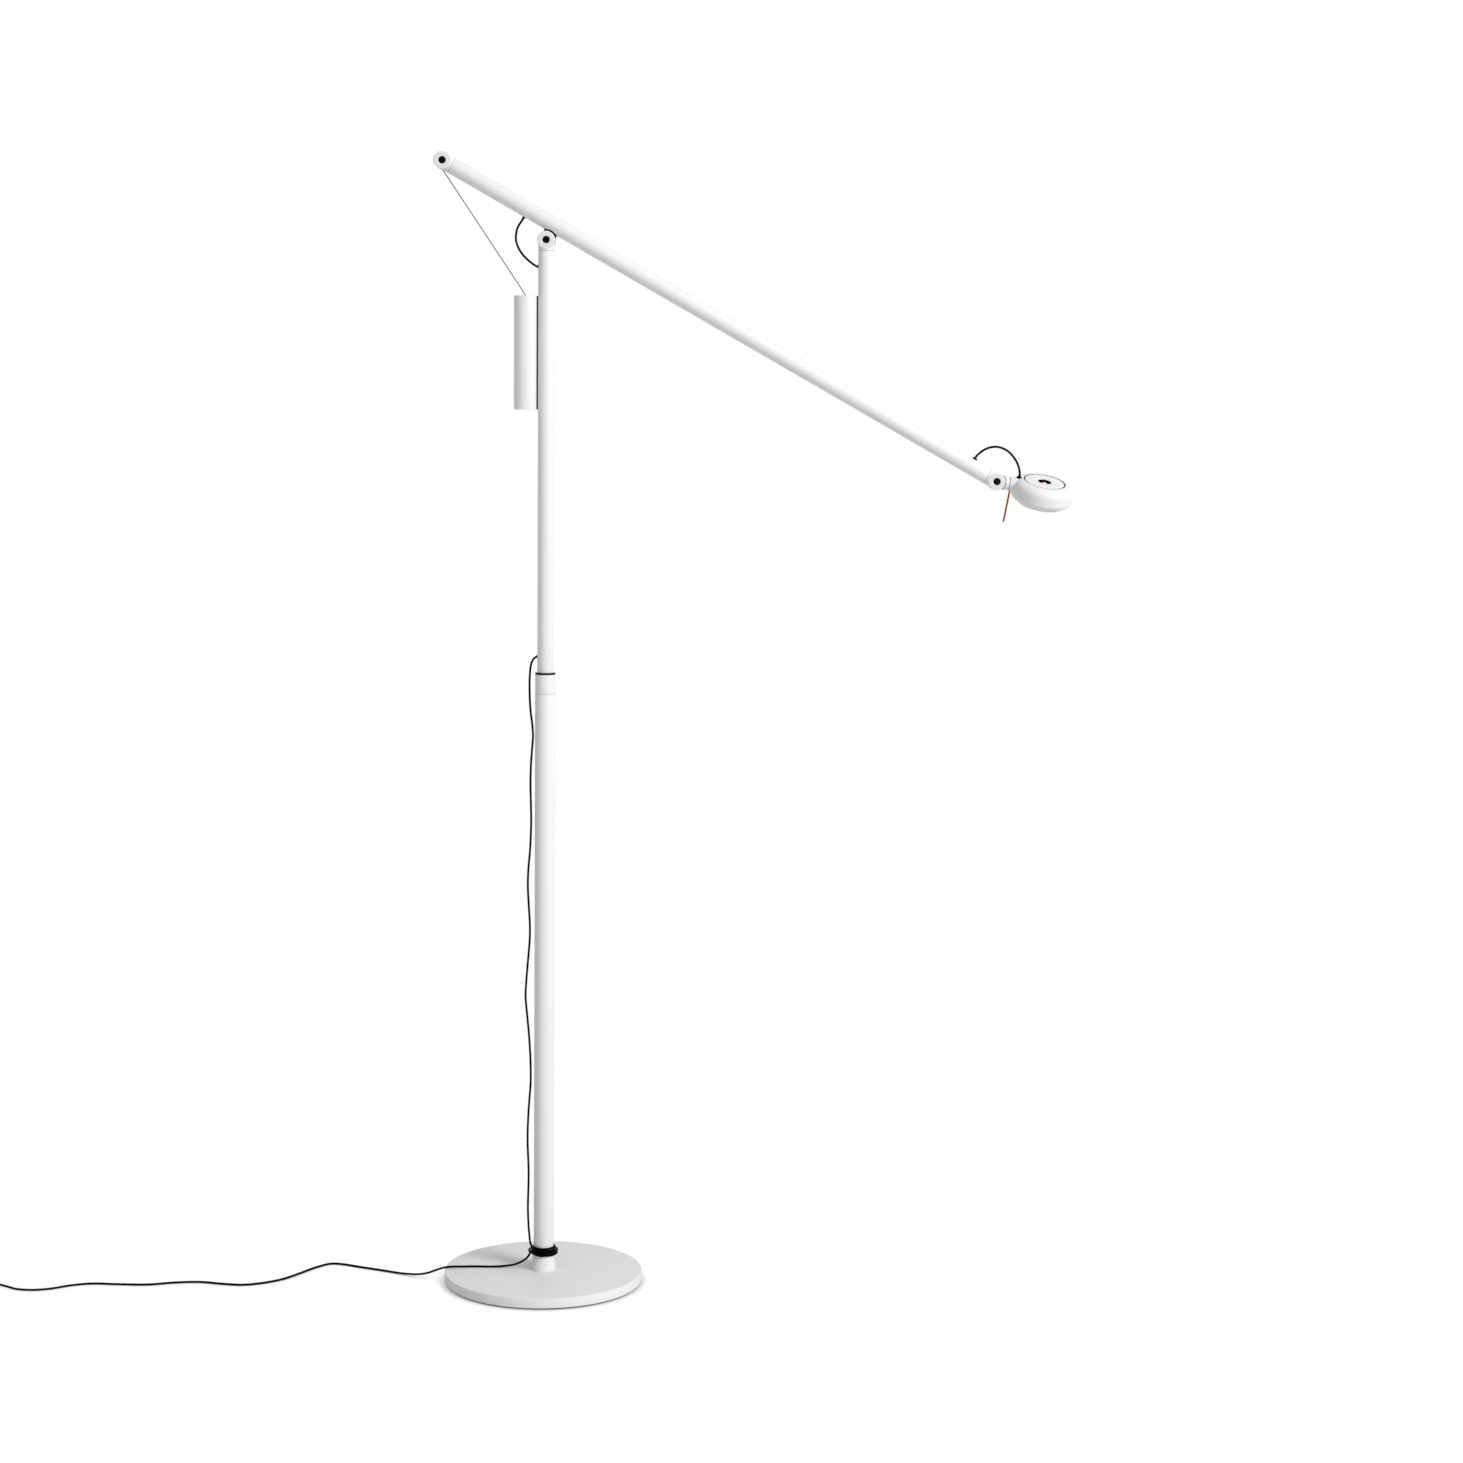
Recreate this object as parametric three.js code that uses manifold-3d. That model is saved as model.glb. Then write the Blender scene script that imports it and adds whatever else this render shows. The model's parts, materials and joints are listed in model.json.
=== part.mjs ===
// Adjustable arm floor lamp: a round weighted base, a swivelling two-part stem, a balanced arm with
// a wire-hung counterweight that slides along the stem, and a small round LED head that tilts and rolls.
// Millimetres, +Z up. The origin is the centre of the base's underside, and the arm lies in the X-Z plane.
import * as THREE from 'three';
import { mergeVertices } from 'three/addons/utils/BufferGeometryUtils.js';
import Module from 'manifold-3d';

const wasm = await Module();
wasm.setup();

// ---------------------------------------------------------------------------------------------
// Driving dimensions
// ---------------------------------------------------------------------------------------------

// clearances
const SEAT = 0.2;                 // between faces that rest on each other
const FIT = 0.15;                 // all round a plug, pin or screw in its hole
const CORD_GAP = 0.3;             // between a lead's end and what it enters

// base
const BASE_DIAMETER = 250;
const BASE_THICKNESS = 12.5;
const BASE_EDGE = 0.8;            // broken edge of the base plate
const PAD_THICKNESS = 1.5;
const PAD_INSET = 4;              // pad's edge inside the plate's edge
const BOSS_FOOT_DIAMETER = 30.5;
const BOSS_TOP_DIAMETER = 27;
const BOSS_HEIGHT = 20;
const BOLT_DIAMETER = 8;
const BOLT_HEAD_DIAMETER = 13;
const BOLT_HEAD_HEIGHT = 8;
const BOLT_GRIP = 18;             // length of bolt inside the foot plug
const FOOT_PLUG_HEIGHT = 30;

// stem
const LOWER_DIAMETER = 25;
const LOWER_LENGTH = 736.8;
const TUBE_DIAMETER = 20;         // upper stem and arm
const TUBE_WALL = 1.5;
const UPPER_LENGTH = 518.6;
const COLLAR_HEIGHT = 24;
const COLLAR_SPIGOT = 30;         // length of the collar's spigot in the lower tube
const FLANGE_DIAMETER = 25.4;
const FLANGE_THICKNESS = 2;
const BUSH_WALL = 1.85;
const SPINDLE_DIAMETER = 14;      // steel spindle that turns in the bush
const SPINDLE_PLUG = 13;          // length of the spindle's plug in the upper tube
const SPINDLE_TAIL = 4.8;         // spindle below the bush
const CLIP_THICKNESS = 1.2;
const CLIP_GROOVE = 1;            // depth of the clip's groove
const CLIP_WIDTH = 3.7;
const CORD_EXIT_HEIGHT = 20;      // above the upper tube's lower end
const PIVOT_LEAD_DROP = 32.3;     // lead hole below the arm's pivot

// hinge knuckles at the stem's top and at both ends of the arm
const CAP_LENGTH = 13;            // pin to the seam with the tube
const CAP_SPIGOT = 16;
const BARREL_DIAMETER = 21.4;
const BARREL_WIDTH = 21;
const BARREL_EDGE = 0.5;
const TONGUE_DIAMETER = 16.8;     // round end of the tongue between the cheeks
const TONGUE_WIDTH = 7.4;
const TONGUE_CLEARANCE = 0.4;     // tongue's round end to the slot's floor
const SLOT_DEPTH = 6;             // slot's open part behind the pin
const HINGE_GAP = 0.3;            // between the tongue and each cheek
const PIN_DIAMETER = 6;
const PIN_HEAD_DIAMETER = 8.6;    // black round head, and its nut on the other side
const PIN_HEAD_HEIGHT = 3;
const PIN_EDGE = 0.3;

// arm
const ARM_SLOPE = THREE.MathUtils.degToRad(29.3);
const ARM_RISE = 20.4;            // pivot to the arm tube's axis
const ARM_TAIL = 157;             // pivot to the tail pin along the arm
const ARM_REACH = 626.5;          // pivot to the head pin along the arm
const LUG_LENGTH = 36;
const LEAD_WAY = 4.4;             // channel for the lead through the lug
const NOTCH_CLEARANCE = 2.3;      // arm tube's notch round the stem's knuckle
const LUG_SCREW_DIAMETER = 3.8;
const LUG_SCREW_HEAD = 6.8;
const LUG_SCREW_LENGTH = 8;
const TAIL_LEAD_BACK = 37.4;      // pivot to the lead's hole under the tail
const HEAD_LEAD_BACK = 37.2;      // head pin to the lead's hole on the arm

// wire and counterweight
const WIRE_DIAMETER = 1.2;
const ROLLER_DIAMETER = 15.4;
const ROLLER_GROOVE_DIAMETER = 10.8;
const ROLLER_WIDTH = 6.6;
const WIRE_WRAP = 2.2;            // radians of wire round the roller
const WIRE_WRAP_SHARE = 0.75;     // share of the steps spent on the roller
const WEIGHT_DIAMETER = 28.4;
const WEIGHT_LENGTH = 138.8;
const WEIGHT_DROP = 67.7;         // pivot to the counterweight's top
const WEIGHT_EDGE = 0.4;
const STRIP_SHOW = 1.35;          // magnetic strip between the stem and the counterweight
const STRIP_WIDTH = 3;
const STRIP_THICKNESS = 4;
const ANCHOR_DIAMETER = 5;
const ANCHOR_LENGTH = 12;

// neck and head
const NECK_SLOPE = THREE.MathUtils.degToRad(8.7);
const HEAD_ROLL = THREE.MathUtils.degToRad(17.5);
const NECK_DIAMETER = 17.4;
const NECK_SEAM = 16.3;           // head pin to the end of the neck knuckle
const NECK_GAP = 0.8;             // neck's hollow round the arm's knuckle
const NECK_TONGUE_HEIGHT = 12;
const SWIVEL_GAP = 0.4;
const SWIVEL_SCREW_DIAMETER = 7;
const SWIVEL_HEAD_DIAMETER = 12;
const SWIVEL_HEAD_HEIGHT = 4;
const SWIVEL_WALL = 4.8;          // housing wall between the seam and the screw's head
const SWIVEL_THREAD = 3.2;
const HEAD_REACH = 58.7;          // head pin to the head's centre
const HEAD_DIAMETER = 76.4;
const HEAD_TOP = 10.1;            // above the neck's axis
const HEAD_THICKNESS = 26.1;
const HEAD_TOP_ROUNDING = 11;
const HEAD_FOOT_ROUNDING = 7;
const HEAD_HOLLOW_DIAMETER = 69;  // light chamber above its mouth
const HEAD_LIP = 4.5;             // height of the chamber's narrower mouth
const HEAD_WALL_TOP = 3.1;        // web between the cover and the light chamber
const CHAMBER_DIAMETER = 51.2;
const COVER_DIAMETER = 50.2;
const COVER_THICKNESS = 1.9;
const COVER_SLOT = 1;             // open groove round the cover
const CUP_DIAMETER = 16.6;
const CUP_WALL = 0.8;
const CUP_FLOOR = 1;
const CUP_FLANGE = 2.5;
const BUTTON_DIAMETER = 5.8;
const BUTTON_HEIGHT = 1.8;
const BUTTON_STEM_DIAMETER = 4;
const BUTTON_SINK = 2.4;          // button's top below the cover
const BUTTON_LENGTH = 5.2;
const BUTTON_TRAVEL = 0.8;
const SWITCH_WIDTH = 6;
const SWITCH_HEIGHT = 1.8;
const BOARD_THICKNESS = 1.2;
const DIMMER_DIAMETER = 28;
const SPREADER_THICKNESS = 2.9;
const STANDOFF_DIAMETER = 6;
const STANDOFF_CIRCLE = 38;
const STANDOFF_COUNT = 2;
const SCREW_DIAMETER = 3;
const SCREW_HEAD_DIAMETER = 5.6;
const SCREW_HEAD_HEIGHT = 1.6;
const SCREW_LENGTH = 7;
const LED_BOARD_DIAMETER = 29;
const LED_DIAMETER = 13;
const LED_THICKNESS = 0.6;
const REFLECTOR_WALL = 0.8;
const DIFFUSER_THICKNESS = 2;
const RING_DIAMETER = 56.4;
const RING_HEIGHT = 3.8;
const RING_OPENING = 45;
const RING_SKIRT = 3.3;
const HANDLE_DIAMETER = 2.1;
const HANDLE_TIP = 50.4;          // below the neck's axis
const HANDLE_BACK = 18.5;         // head pin to the handle
const HANDLE_SINK = 3.2;          // depth of the handle's hole
const HEAD_LEAD_FORWARD = 26.6;   // head pin to the lead's hole in the head
const HEAD_GROMMET_SEAT = 9.1;    // flat for the grommet, above the neck's axis
const HEAD_SEAT_RADIUS = 3.5;

// lead, grommets and adapter
const LEAD_DIAMETER = 2.5;
const GROMMET_FLANGE = 4.8;
const GROMMET_HEIGHT = 0.8;
const TALL_GROMMET_FLANGE = 6.4;
const TALL_GROMMET_HEIGHT = 2;
const GROMMET_NECK = 3.6;
const WRAP_THICKNESS = 5.2;
const WRAP_HEIGHT = 12;
const COIL_CENTRE = new THREE.Vector3(-704, -57, 0);
const COIL_MIDDLE_DIAMETER = 28.8;
const COIL_ROWS = 4;
const COIL_LAYERS = 4;
const ADAPTER_SIZE = new THREE.Vector3(40, 60, 28);
const ADAPTER_CENTRE = new THREE.Vector3(-716, -147, 0);
const ADAPTER_CORNER = 5;
const ADAPTER_PIN_DIAMETER = 4;
const ADAPTER_PIN_LENGTH = 19;
const ADAPTER_PIN_SPACING = 19;
const ADAPTER_PLATE_WIDTH = 32;
const ADAPTER_PLATE_HEIGHT = 12;
const ADAPTER_PLATE_THICKNESS = 2;
const RELIEF_LENGTH = 18;
const RELIEF_DIAMETER = 7;
const RELIEF_TIP_DIAMETER = 4;
const RELIEF_HEIGHT = 8;          // above the floor

// facets of round forms
const FINE = 48;
const ROUND = 32;
const SMALL = 16;
const CORD_SIDES = 8;

// ---------------------------------------------------------------------------------------------
// Derived places
// ---------------------------------------------------------------------------------------------

const BASE_TOP = PAD_THICKNESS + BASE_THICKNESS;
const COLLAR_FOOT = BASE_TOP + LOWER_LENGTH;
const FLANGE_FOOT = COLLAR_FOOT + COLLAR_HEIGHT;
const UPPER_FOOT = FLANGE_FOOT + FLANGE_THICKNESS + SEAT;
const UPPER_TOP = UPPER_FOOT + UPPER_LENGTH;
const PIVOT_HEIGHT = UPPER_TOP + CAP_LENGTH;
const LOWER_RADIUS = LOWER_DIAMETER / 2;
const LOWER_BORE = LOWER_RADIUS - TUBE_WALL;
const TUBE_RADIUS = TUBE_DIAMETER / 2;
const TUBE_BORE = TUBE_RADIUS - TUBE_WALL;
const BARREL_RADIUS = BARREL_DIAMETER / 2;
const TONGUE_RADIUS = TONGUE_DIAMETER / 2;
const SLOT_WIDTH = TONGUE_WIDTH + 2 * HINGE_GAP;
const SLOT_FLOOR = TONGUE_RADIUS + TONGUE_CLEARANCE;
const PIN_SEAT = BARREL_WIDTH / 2 - PIN_HEAD_HEIGHT;
const LEAD_RADIUS = LEAD_DIAMETER / 2;
const LEAD_HOLE = LEAD_RADIUS + FIT;
const GROMMET_HOLE = GROMMET_NECK / 2 + FIT;
const WEIGHT_RADIUS = WEIGHT_DIAMETER / 2;
const WEIGHT_AXIS = -(TUBE_RADIUS + STRIP_SHOW + WEIGHT_RADIUS);
const WIRE_OFFSET = ROLLER_GROOVE_DIAMETER / 2 + WIRE_DIAMETER / 2 + FIT;
const NECK_RADIUS = NECK_DIAMETER / 2;
const HEAD_SEAM = NECK_SEAM + SWIVEL_GAP;
const HEAD_RADIUS = HEAD_DIAMETER / 2;
const HEAD_FOOT = HEAD_TOP - HEAD_THICKNESS;
const COVER_TOP = HEAD_TOP - SEAT;
const COVER_FOOT = COVER_TOP - COVER_THICKNESS;
const CHAMBER_TOP = COVER_FOOT - SEAT - HEAD_WALL_TOP;
const CUP_TOP = COVER_TOP - CORD_GAP;
const CUP_FOOT = CHAMBER_TOP - SEAT - CUP_FLOOR;
const BUTTON_TOP = COVER_TOP - BUTTON_SINK;
const BUTTON_FOOT = BUTTON_TOP - BUTTON_LENGTH;
const SWITCH_TOP = BUTTON_FOOT - BUTTON_TRAVEL - SEAT;
const DIMMER_TOP = SWITCH_TOP - SWITCH_HEIGHT;
const SPREADER_TOP = DIMMER_TOP - BOARD_THICKNESS - SEAT;
const SPREADER_FOOT = SPREADER_TOP - SPREADER_THICKNESS;
const LED_BOARD_FOOT = SPREADER_FOOT - SEAT - BOARD_THICKNESS;
const RING_TOP = HEAD_FOOT - SEAT;
const DIFFUSER_TOP = RING_TOP + SEAT + DIFFUSER_THICKNESS;
const DIFFUSER_RADIUS = CHAMBER_DIAMETER / 2 - 2 * FIT - REFLECTOR_WALL - FIT;
const WRAP_FOOT = BASE_TOP + BOSS_HEIGHT + CORD_GAP;
const COIL_OUTER = COIL_MIDDLE_DIAMETER / 2 + COIL_ROWS * LEAD_RADIUS;

// ---------------------------------------------------------------------------------------------
// Shape helpers
// ---------------------------------------------------------------------------------------------

// keeps only merged positions, drops triangles without area and turns the faces outward
function closed(geometry) {
  const plain = geometry.clone();
  for (const name of Object.keys(plain.attributes)) {
    if (name !== 'position') plain.deleteAttribute(name);
  }
  const merged = mergeVertices(plain, 1e-4);
  const index = [];
  for (let i = 0; i < merged.index.count; i += 3) {
    const [a, b, c] = [0, 1, 2].map((k) => merged.index.getX(i + k));
    if (a !== b && b !== c && c !== a) index.push(a, b, c);
  }
  merged.setIndex(index);
  if (signedVolume(merged) < 0) merged.setIndex(index.reverse());
  return merged;
}

function signedVolume(geometry) {
  const corner = [0, 1, 2].map(() => new THREE.Vector3());
  let sum = 0;
  for (let i = 0; i < geometry.index.count; i += 3) {
    corner.forEach((v, k) => v.fromBufferAttribute(geometry.attributes.position, geometry.index.getX(i + k)));
    sum += corner[0].dot(corner[1].cross(corner[2])) / 6;
  }
  return sum;
}

function toSolid(geometry) {
  const shape = closed(geometry);
  return new wasm.Manifold(new wasm.Mesh({
    numProp: 3,
    vertProperties: new Float32Array(shape.attributes.position.array),
    triVerts: new Uint32Array(shape.index.array),
  }));
}

function toGeometry(solid) {
  const mesh = solid.getMesh();
  const geometry = new THREE.BufferGeometry();
  geometry.setAttribute('position', new THREE.BufferAttribute(new Float32Array(mesh.vertProperties), 3));
  geometry.setIndex([...mesh.triVerts]);
  return geometry;
}

const join = (first, ...others) => toGeometry(others.reduce((s, g) => s.add(toSolid(g)), toSolid(first)));
const cut = (first, ...tools) => toGeometry(tools.reduce((s, g) => s.subtract(toSolid(g)), toSolid(first)));

// solid of revolution about +Z from [radius, height] pairs
function turned(profile, facets = ROUND) {
  const points = profile.map(([radius, height]) => new THREE.Vector2(radius, height));
  return closed(new THREE.LatheGeometry(points, facets).rotateX(Math.PI / 2));
}

// round bar from low to high along Z, with both rims broken by edge
function rod(radius, low, high, facets = ROUND, edge = 0) {
  const rims = edge > 0
    ? [[radius - edge, low], [radius, low + edge], [radius, high - edge], [radius - edge, high]]
    : [[radius, low], [radius, high]];
  return turned([[0, low], ...rims, [0, high]], facets);
}

// hollow bar from low to high along Z
function pipe(outer, inner, low, high, facets = ROUND) {
  return turned([[inner, low], [outer, low], [outer, high], [inner, high], [inner, low]], facets);
}

const alongY = (geometry) => geometry.rotateX(-Math.PI / 2);
const alongX = (geometry) => geometry.rotateY(Math.PI / 2);

function block(x0, x1, y0, y1, z0, z1) {
  const box = new THREE.BoxGeometry(x1 - x0, y1 - y0, z1 - z0);
  return box.translate((x0 + x1) / 2, (y0 + y1) / 2, (z0 + z1) / 2);
}

// quarter arc from angle a to b about (r, z), as profile points
function arc(r, z, radius, a, b, steps = 4) {
  return Array.from({ length: steps + 1 }, (_, i) => {
    const angle = a + ((b - a) * i) / steps;
    return [r + radius * Math.cos(angle), z + radius * Math.sin(angle)];
  });
}

// round lead along a smooth curve through the points
function lead(points, steps, radius = LEAD_RADIUS) {
  return cordAlong(new THREE.CatmullRomCurve3(points, false, 'centripetal'), steps, radius);
}

function cordAlong(curve, steps, radius) {
  const section = new THREE.Shape();
  for (let i = 0; i < CORD_SIDES; i += 1) {
    const angle = (2 * Math.PI * i) / CORD_SIDES;
    const [x, y] = [radius * Math.cos(angle), radius * Math.sin(angle)];
    if (i === 0) section.moveTo(x, y);
    else section.lineTo(x, y);
  }
  section.closePath();
  return closed(new THREE.ExtrudeGeometry(section, { extrudePath: curve, steps, bevelEnabled: false }));
}

function piece(name, geometry, color, roughness = 0.5, metalness = 0) {
  const material = new THREE.MeshStandardMaterial({ color, roughness, metalness });
  const mesh = new THREE.Mesh(closed(geometry), material);
  mesh.name = name;
  return mesh;
}

const PAINT = ['#e4e5e4', 0.45, 0.1];
const STEEL = ['#a8a9aa', 0.3, 1];
const BLACK = ['#141414', 0.6, 0];
const RUBBER = ['#0e0e0e', 0.8, 0];

// ---------------------------------------------------------------------------------------------
// Stand: base, lower tube and swivel bearing
// ---------------------------------------------------------------------------------------------

function basePad() {
  return piece('base_pad', rod(BASE_DIAMETER / 2 - PAD_INSET, 0, PAD_THICKNESS, FINE), ...RUBBER);
}

// round plate with a counterbore for the bolt's head on its underside
function basePlate() {
  const [radius, low, high] = [BASE_DIAMETER / 2, PAD_THICKNESS, BASE_TOP];
  const bore = BOLT_DIAMETER / 2 + FIT;
  const pocket = BOLT_HEAD_DIAMETER / 2 + FIT;
  const ledge = low + BOLT_HEAD_HEIGHT + 2 * SEAT;
  return piece('base_plate', turned([
    [pocket, low], [radius - BASE_EDGE, low], [radius, low + BASE_EDGE], [radius, high - BASE_EDGE],
    [radius - BASE_EDGE, high], [bore, high], [bore, ledge], [pocket, ledge], [pocket, low],
  ], FINE), ...PAINT);
}

function baseBolt() {
  const foot = PAD_THICKNESS + SEAT;
  const shoulder = foot + BOLT_HEAD_HEIGHT;
  return piece('base_bolt', turned([
    [0, foot], [BOLT_HEAD_DIAMETER / 2, foot], [BOLT_HEAD_DIAMETER / 2, shoulder],
    [BOLT_DIAMETER / 2, shoulder], [BOLT_DIAMETER / 2, BASE_TOP + BOLT_GRIP], [0, BASE_TOP + BOLT_GRIP],
  ], SMALL), ...STEEL);
}

function baseBoss() {
  const bore = LOWER_RADIUS + FIT;
  const [foot, top] = [BOSS_FOOT_DIAMETER / 2, BOSS_TOP_DIAMETER / 2];
  return piece('base_boss', turned([
    [bore, BASE_TOP], [foot, BASE_TOP], [top, BASE_TOP + BOSS_HEIGHT], [bore, BASE_TOP + BOSS_HEIGHT],
    [bore, BASE_TOP],
  ]), ...PAINT);
}

// plug in the lower tube's foot that the base's bolt screws into
function footPlug() {
  const radius = LOWER_BORE - FIT;
  const bore = BOLT_DIAMETER / 2 + FIT;
  const bottom = BASE_TOP + BOLT_GRIP + 1;
  const top = BASE_TOP + FOOT_PLUG_HEIGHT;
  return piece('foot_plug', turned([
    [bore, BASE_TOP], [radius, BASE_TOP], [radius, top], [0, top], [0, bottom], [bore, bottom], [bore, BASE_TOP],
  ]), ...STEEL);
}

function lowerTube() {
  return piece('lower_tube', pipe(LOWER_RADIUS, LOWER_BORE, BASE_TOP, COLLAR_FOOT), ...PAINT);
}

// collar with a spigot in the lower tube, bored for the bush
function stemCollar() {
  const spigot = LOWER_BORE - FIT;
  const bore = SPINDLE_DIAMETER / 2 + BUSH_WALL + 2 * FIT;
  const low = COLLAR_FOOT - COLLAR_SPIGOT;
  return piece('stem_collar', turned([
    [bore, low], [spigot, low], [spigot, COLLAR_FOOT], [LOWER_RADIUS, COLLAR_FOOT],
    [LOWER_RADIUS, FLANGE_FOOT], [bore, FLANGE_FOOT], [bore, low],
  ]), ...PAINT);
}

// black flanged bush that the upper stem turns on
function swivelBush() {
  const bore = SPINDLE_DIAMETER / 2 + FIT;
  const sleeve = bore + BUSH_WALL;
  const [low, top] = [COLLAR_FOOT - COLLAR_SPIGOT, FLANGE_FOOT + FLANGE_THICKNESS];
  const flange = FLANGE_DIAMETER / 2;
  return piece('swivel_bush', turned([
    [bore, low], [sleeve, low], [sleeve, FLANGE_FOOT], [flange, FLANGE_FOOT],
    [flange, top - CORD_GAP], [flange - CORD_GAP, top], [bore, top], [bore, low],
  ]), ...BLACK);
}

// ---------------------------------------------------------------------------------------------
// Upper stem, with the knuckle that carries the arm
// ---------------------------------------------------------------------------------------------

// stepped steel spindle: a plug in the upper tube, a journal in the bush and a groove for the clip
function stemSpindle() {
  const journal = SPINDLE_DIAMETER / 2;
  const low = COLLAR_FOOT - COLLAR_SPIGOT;
  const groove = journal - CLIP_GROOVE;
  const [clipFoot, clipTop] = [low - SEAT - CLIP_THICKNESS - SEAT, low];
  const plug = TUBE_BORE - FIT;
  return piece('stem_spindle', turned([
    [0, low - SPINDLE_TAIL], [journal, low - SPINDLE_TAIL], [journal, clipFoot], [groove, clipFoot],
    [groove, clipTop], [journal, clipTop], [journal, UPPER_FOOT], [plug, UPPER_FOOT],
    [plug, UPPER_FOOT + SPINDLE_PLUG], [0, UPPER_FOOT + SPINDLE_PLUG],
  ]), ...STEEL);
}

function spindleClip() {
  const inner = SPINDLE_DIAMETER / 2 - CLIP_GROOVE + FIT;
  const top = COLLAR_FOOT - COLLAR_SPIGOT - SEAT;
  return piece('spindle_clip', pipe(inner + CLIP_WIDTH, inner, top - CLIP_THICKNESS, top), ...STEEL);
}

function upperTube() {
  const tube = pipe(TUBE_RADIUS, TUBE_BORE, UPPER_FOOT, UPPER_TOP);
  const holes = [UPPER_FOOT + CORD_EXIT_HEIGHT, PIVOT_HEIGHT - PIVOT_LEAD_DROP].map((height) => (
    alongX(rod(GROMMET_HOLE, -TUBE_DIAMETER, 0, SMALL)).translate(0, 0, height)));
  return piece('upper_tube', cut(tube, ...holes), ...PAINT);
}

// knuckle: two round cheeks for a pin along Y, on a cap with a spigot that points down
function knuckle(slotWidth) {
  const cap = rod(TUBE_RADIUS, -CAP_LENGTH, -BARREL_RADIUS / 3);
  const spigot = rod(TUBE_BORE - FIT, -CAP_LENGTH - CAP_SPIGOT, -CAP_LENGTH + 1);
  const half = BARREL_WIDTH / 2;
  const barrel = alongY(rod(BARREL_RADIUS, -half, half, ROUND, BARREL_EDGE));
  const reach = BARREL_RADIUS + 1;
  const slot = block(-reach, reach, -slotWidth / 2, slotWidth / 2, -SLOT_DEPTH, reach);
  const slotEnd = alongY(rod(SLOT_FLOOR, -slotWidth / 2, slotWidth / 2));
  const bore = alongY(rod(PIN_DIAMETER / 2 + FIT, -half, half, SMALL));
  const recesses = [-1, 1].map((side) => (
    alongY(rod(PIN_HEAD_DIAMETER / 2 + FIT, side * PIN_SEAT, side * (half + 1), SMALL))));
  return cut(join(cap, spigot, barrel), slot, slotEnd, bore, ...recesses);
}

// hinge screw along Y: a round head sunk in the near cheek and a shank that ends in the nut
function hingeScrew(name) {
  const [head, shank] = [PIN_HEAD_DIAMETER / 2, PIN_DIAMETER / 2];
  const [face, seat] = [-BARREL_WIDTH / 2, -PIN_SEAT - SEAT];
  const tip = PIN_SEAT + PIN_HEAD_HEIGHT / 2;
  return piece(name, alongY(turned([
    [0, face], [head - PIN_EDGE, face], [head, face + PIN_EDGE], [head, seat], [shank, seat],
    [shank, tip], [0, tip],
  ], SMALL)), ...BLACK);
}

// blind nut sunk in the far cheek
function hingeNut(name) {
  const [radius, bore] = [PIN_HEAD_DIAMETER / 2, PIN_DIAMETER / 2 + FIT];
  const [seat, face] = [PIN_SEAT + SEAT, BARREL_WIDTH / 2];
  const end = PIN_SEAT + PIN_HEAD_HEIGHT / 2 + SEAT;
  return piece(name, alongY(turned([
    [bore, seat], [radius, seat], [radius, face - PIN_EDGE], [radius - PIN_EDGE, face], [0, face],
    [0, end], [bore, end], [bore, seat],
  ], SMALL)), ...BLACK);
}

// rubber grommet for a lead, standing on a surface at height 0, with its neck below
function grommet(flange, height) {
  const bore = LEAD_HOLE;
  const neck = GROMMET_NECK / 2;
  return turned([
    [bore, -TUBE_WALL], [neck, -TUBE_WALL], [neck, SEAT], [flange / 2, SEAT],
    [flange / 2, SEAT + height / 2], [bore + 0.6, SEAT + height], [bore, SEAT + height], [bore, -TUBE_WALL],
  ], SMALL);
}

function stemGrommets() {
  return [
    ['cord_gland', UPPER_FOOT + CORD_EXIT_HEIGHT],
    ['stem_lead_grommet', PIVOT_HEIGHT - PIVOT_LEAD_DROP],
  ].map(([name, height]) => {
    const shape = grommet(GROMMET_FLANGE, GROMMET_HEIGHT).rotateY(-Math.PI / 2);
    return piece(name, shape.translate(-TUBE_RADIUS, 0, height), ...RUBBER);
  });
}

// lead inside the upper stem, from the cord's gland to the arm's lead
function stemInnerLead() {
  const [low, high] = [UPPER_FOOT + CORD_EXIT_HEIGHT, PIVOT_HEIGHT - PIVOT_LEAD_DROP];
  const edge = -TUBE_BORE + CORD_GAP;
  const points = [
    [edge, low], [edge + 2, low], [-2.5, low + 3.5], [0, low + 12], [0, low + 60],
    [0, high - 60], [0, high - 12], [-2.5, high - 3.5], [edge + 2, high], [edge, high],
  ].map(([x, z]) => new THREE.Vector3(x, 0, z));
  return piece('stem_inner_lead', lead(points, 44), ...BLACK);
}

// ---------------------------------------------------------------------------------------------
// Arm, in a frame with the pivot at the origin and the head toward +X
// ---------------------------------------------------------------------------------------------

const TAIL_SEAM = -(ARM_TAIL - CAP_LENGTH - SEAT);
const HEAD_TUBE_END = ARM_REACH - CAP_LENGTH - SEAT;

// countersunk screw from the tube's top into the lug; slack widens it into its own hole
function lugScrewForm(slack) {
  const shank = LUG_SCREW_DIAMETER / 2 + slack;
  const top = ARM_RISE + TUBE_RADIUS - 2 * SEAT;
  const head = LUG_SCREW_HEAD / 2 + slack;
  const high = slack > 0 ? top + 1 : top;
  return turned([
    [0, top - LUG_SCREW_LENGTH - slack], [shank, top - LUG_SCREW_LENGTH - slack],
    [shank, top - (head - shank)], [head, top], [head, high + 0.01], [0, high + 0.01],
  ], SMALL);
}

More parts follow.
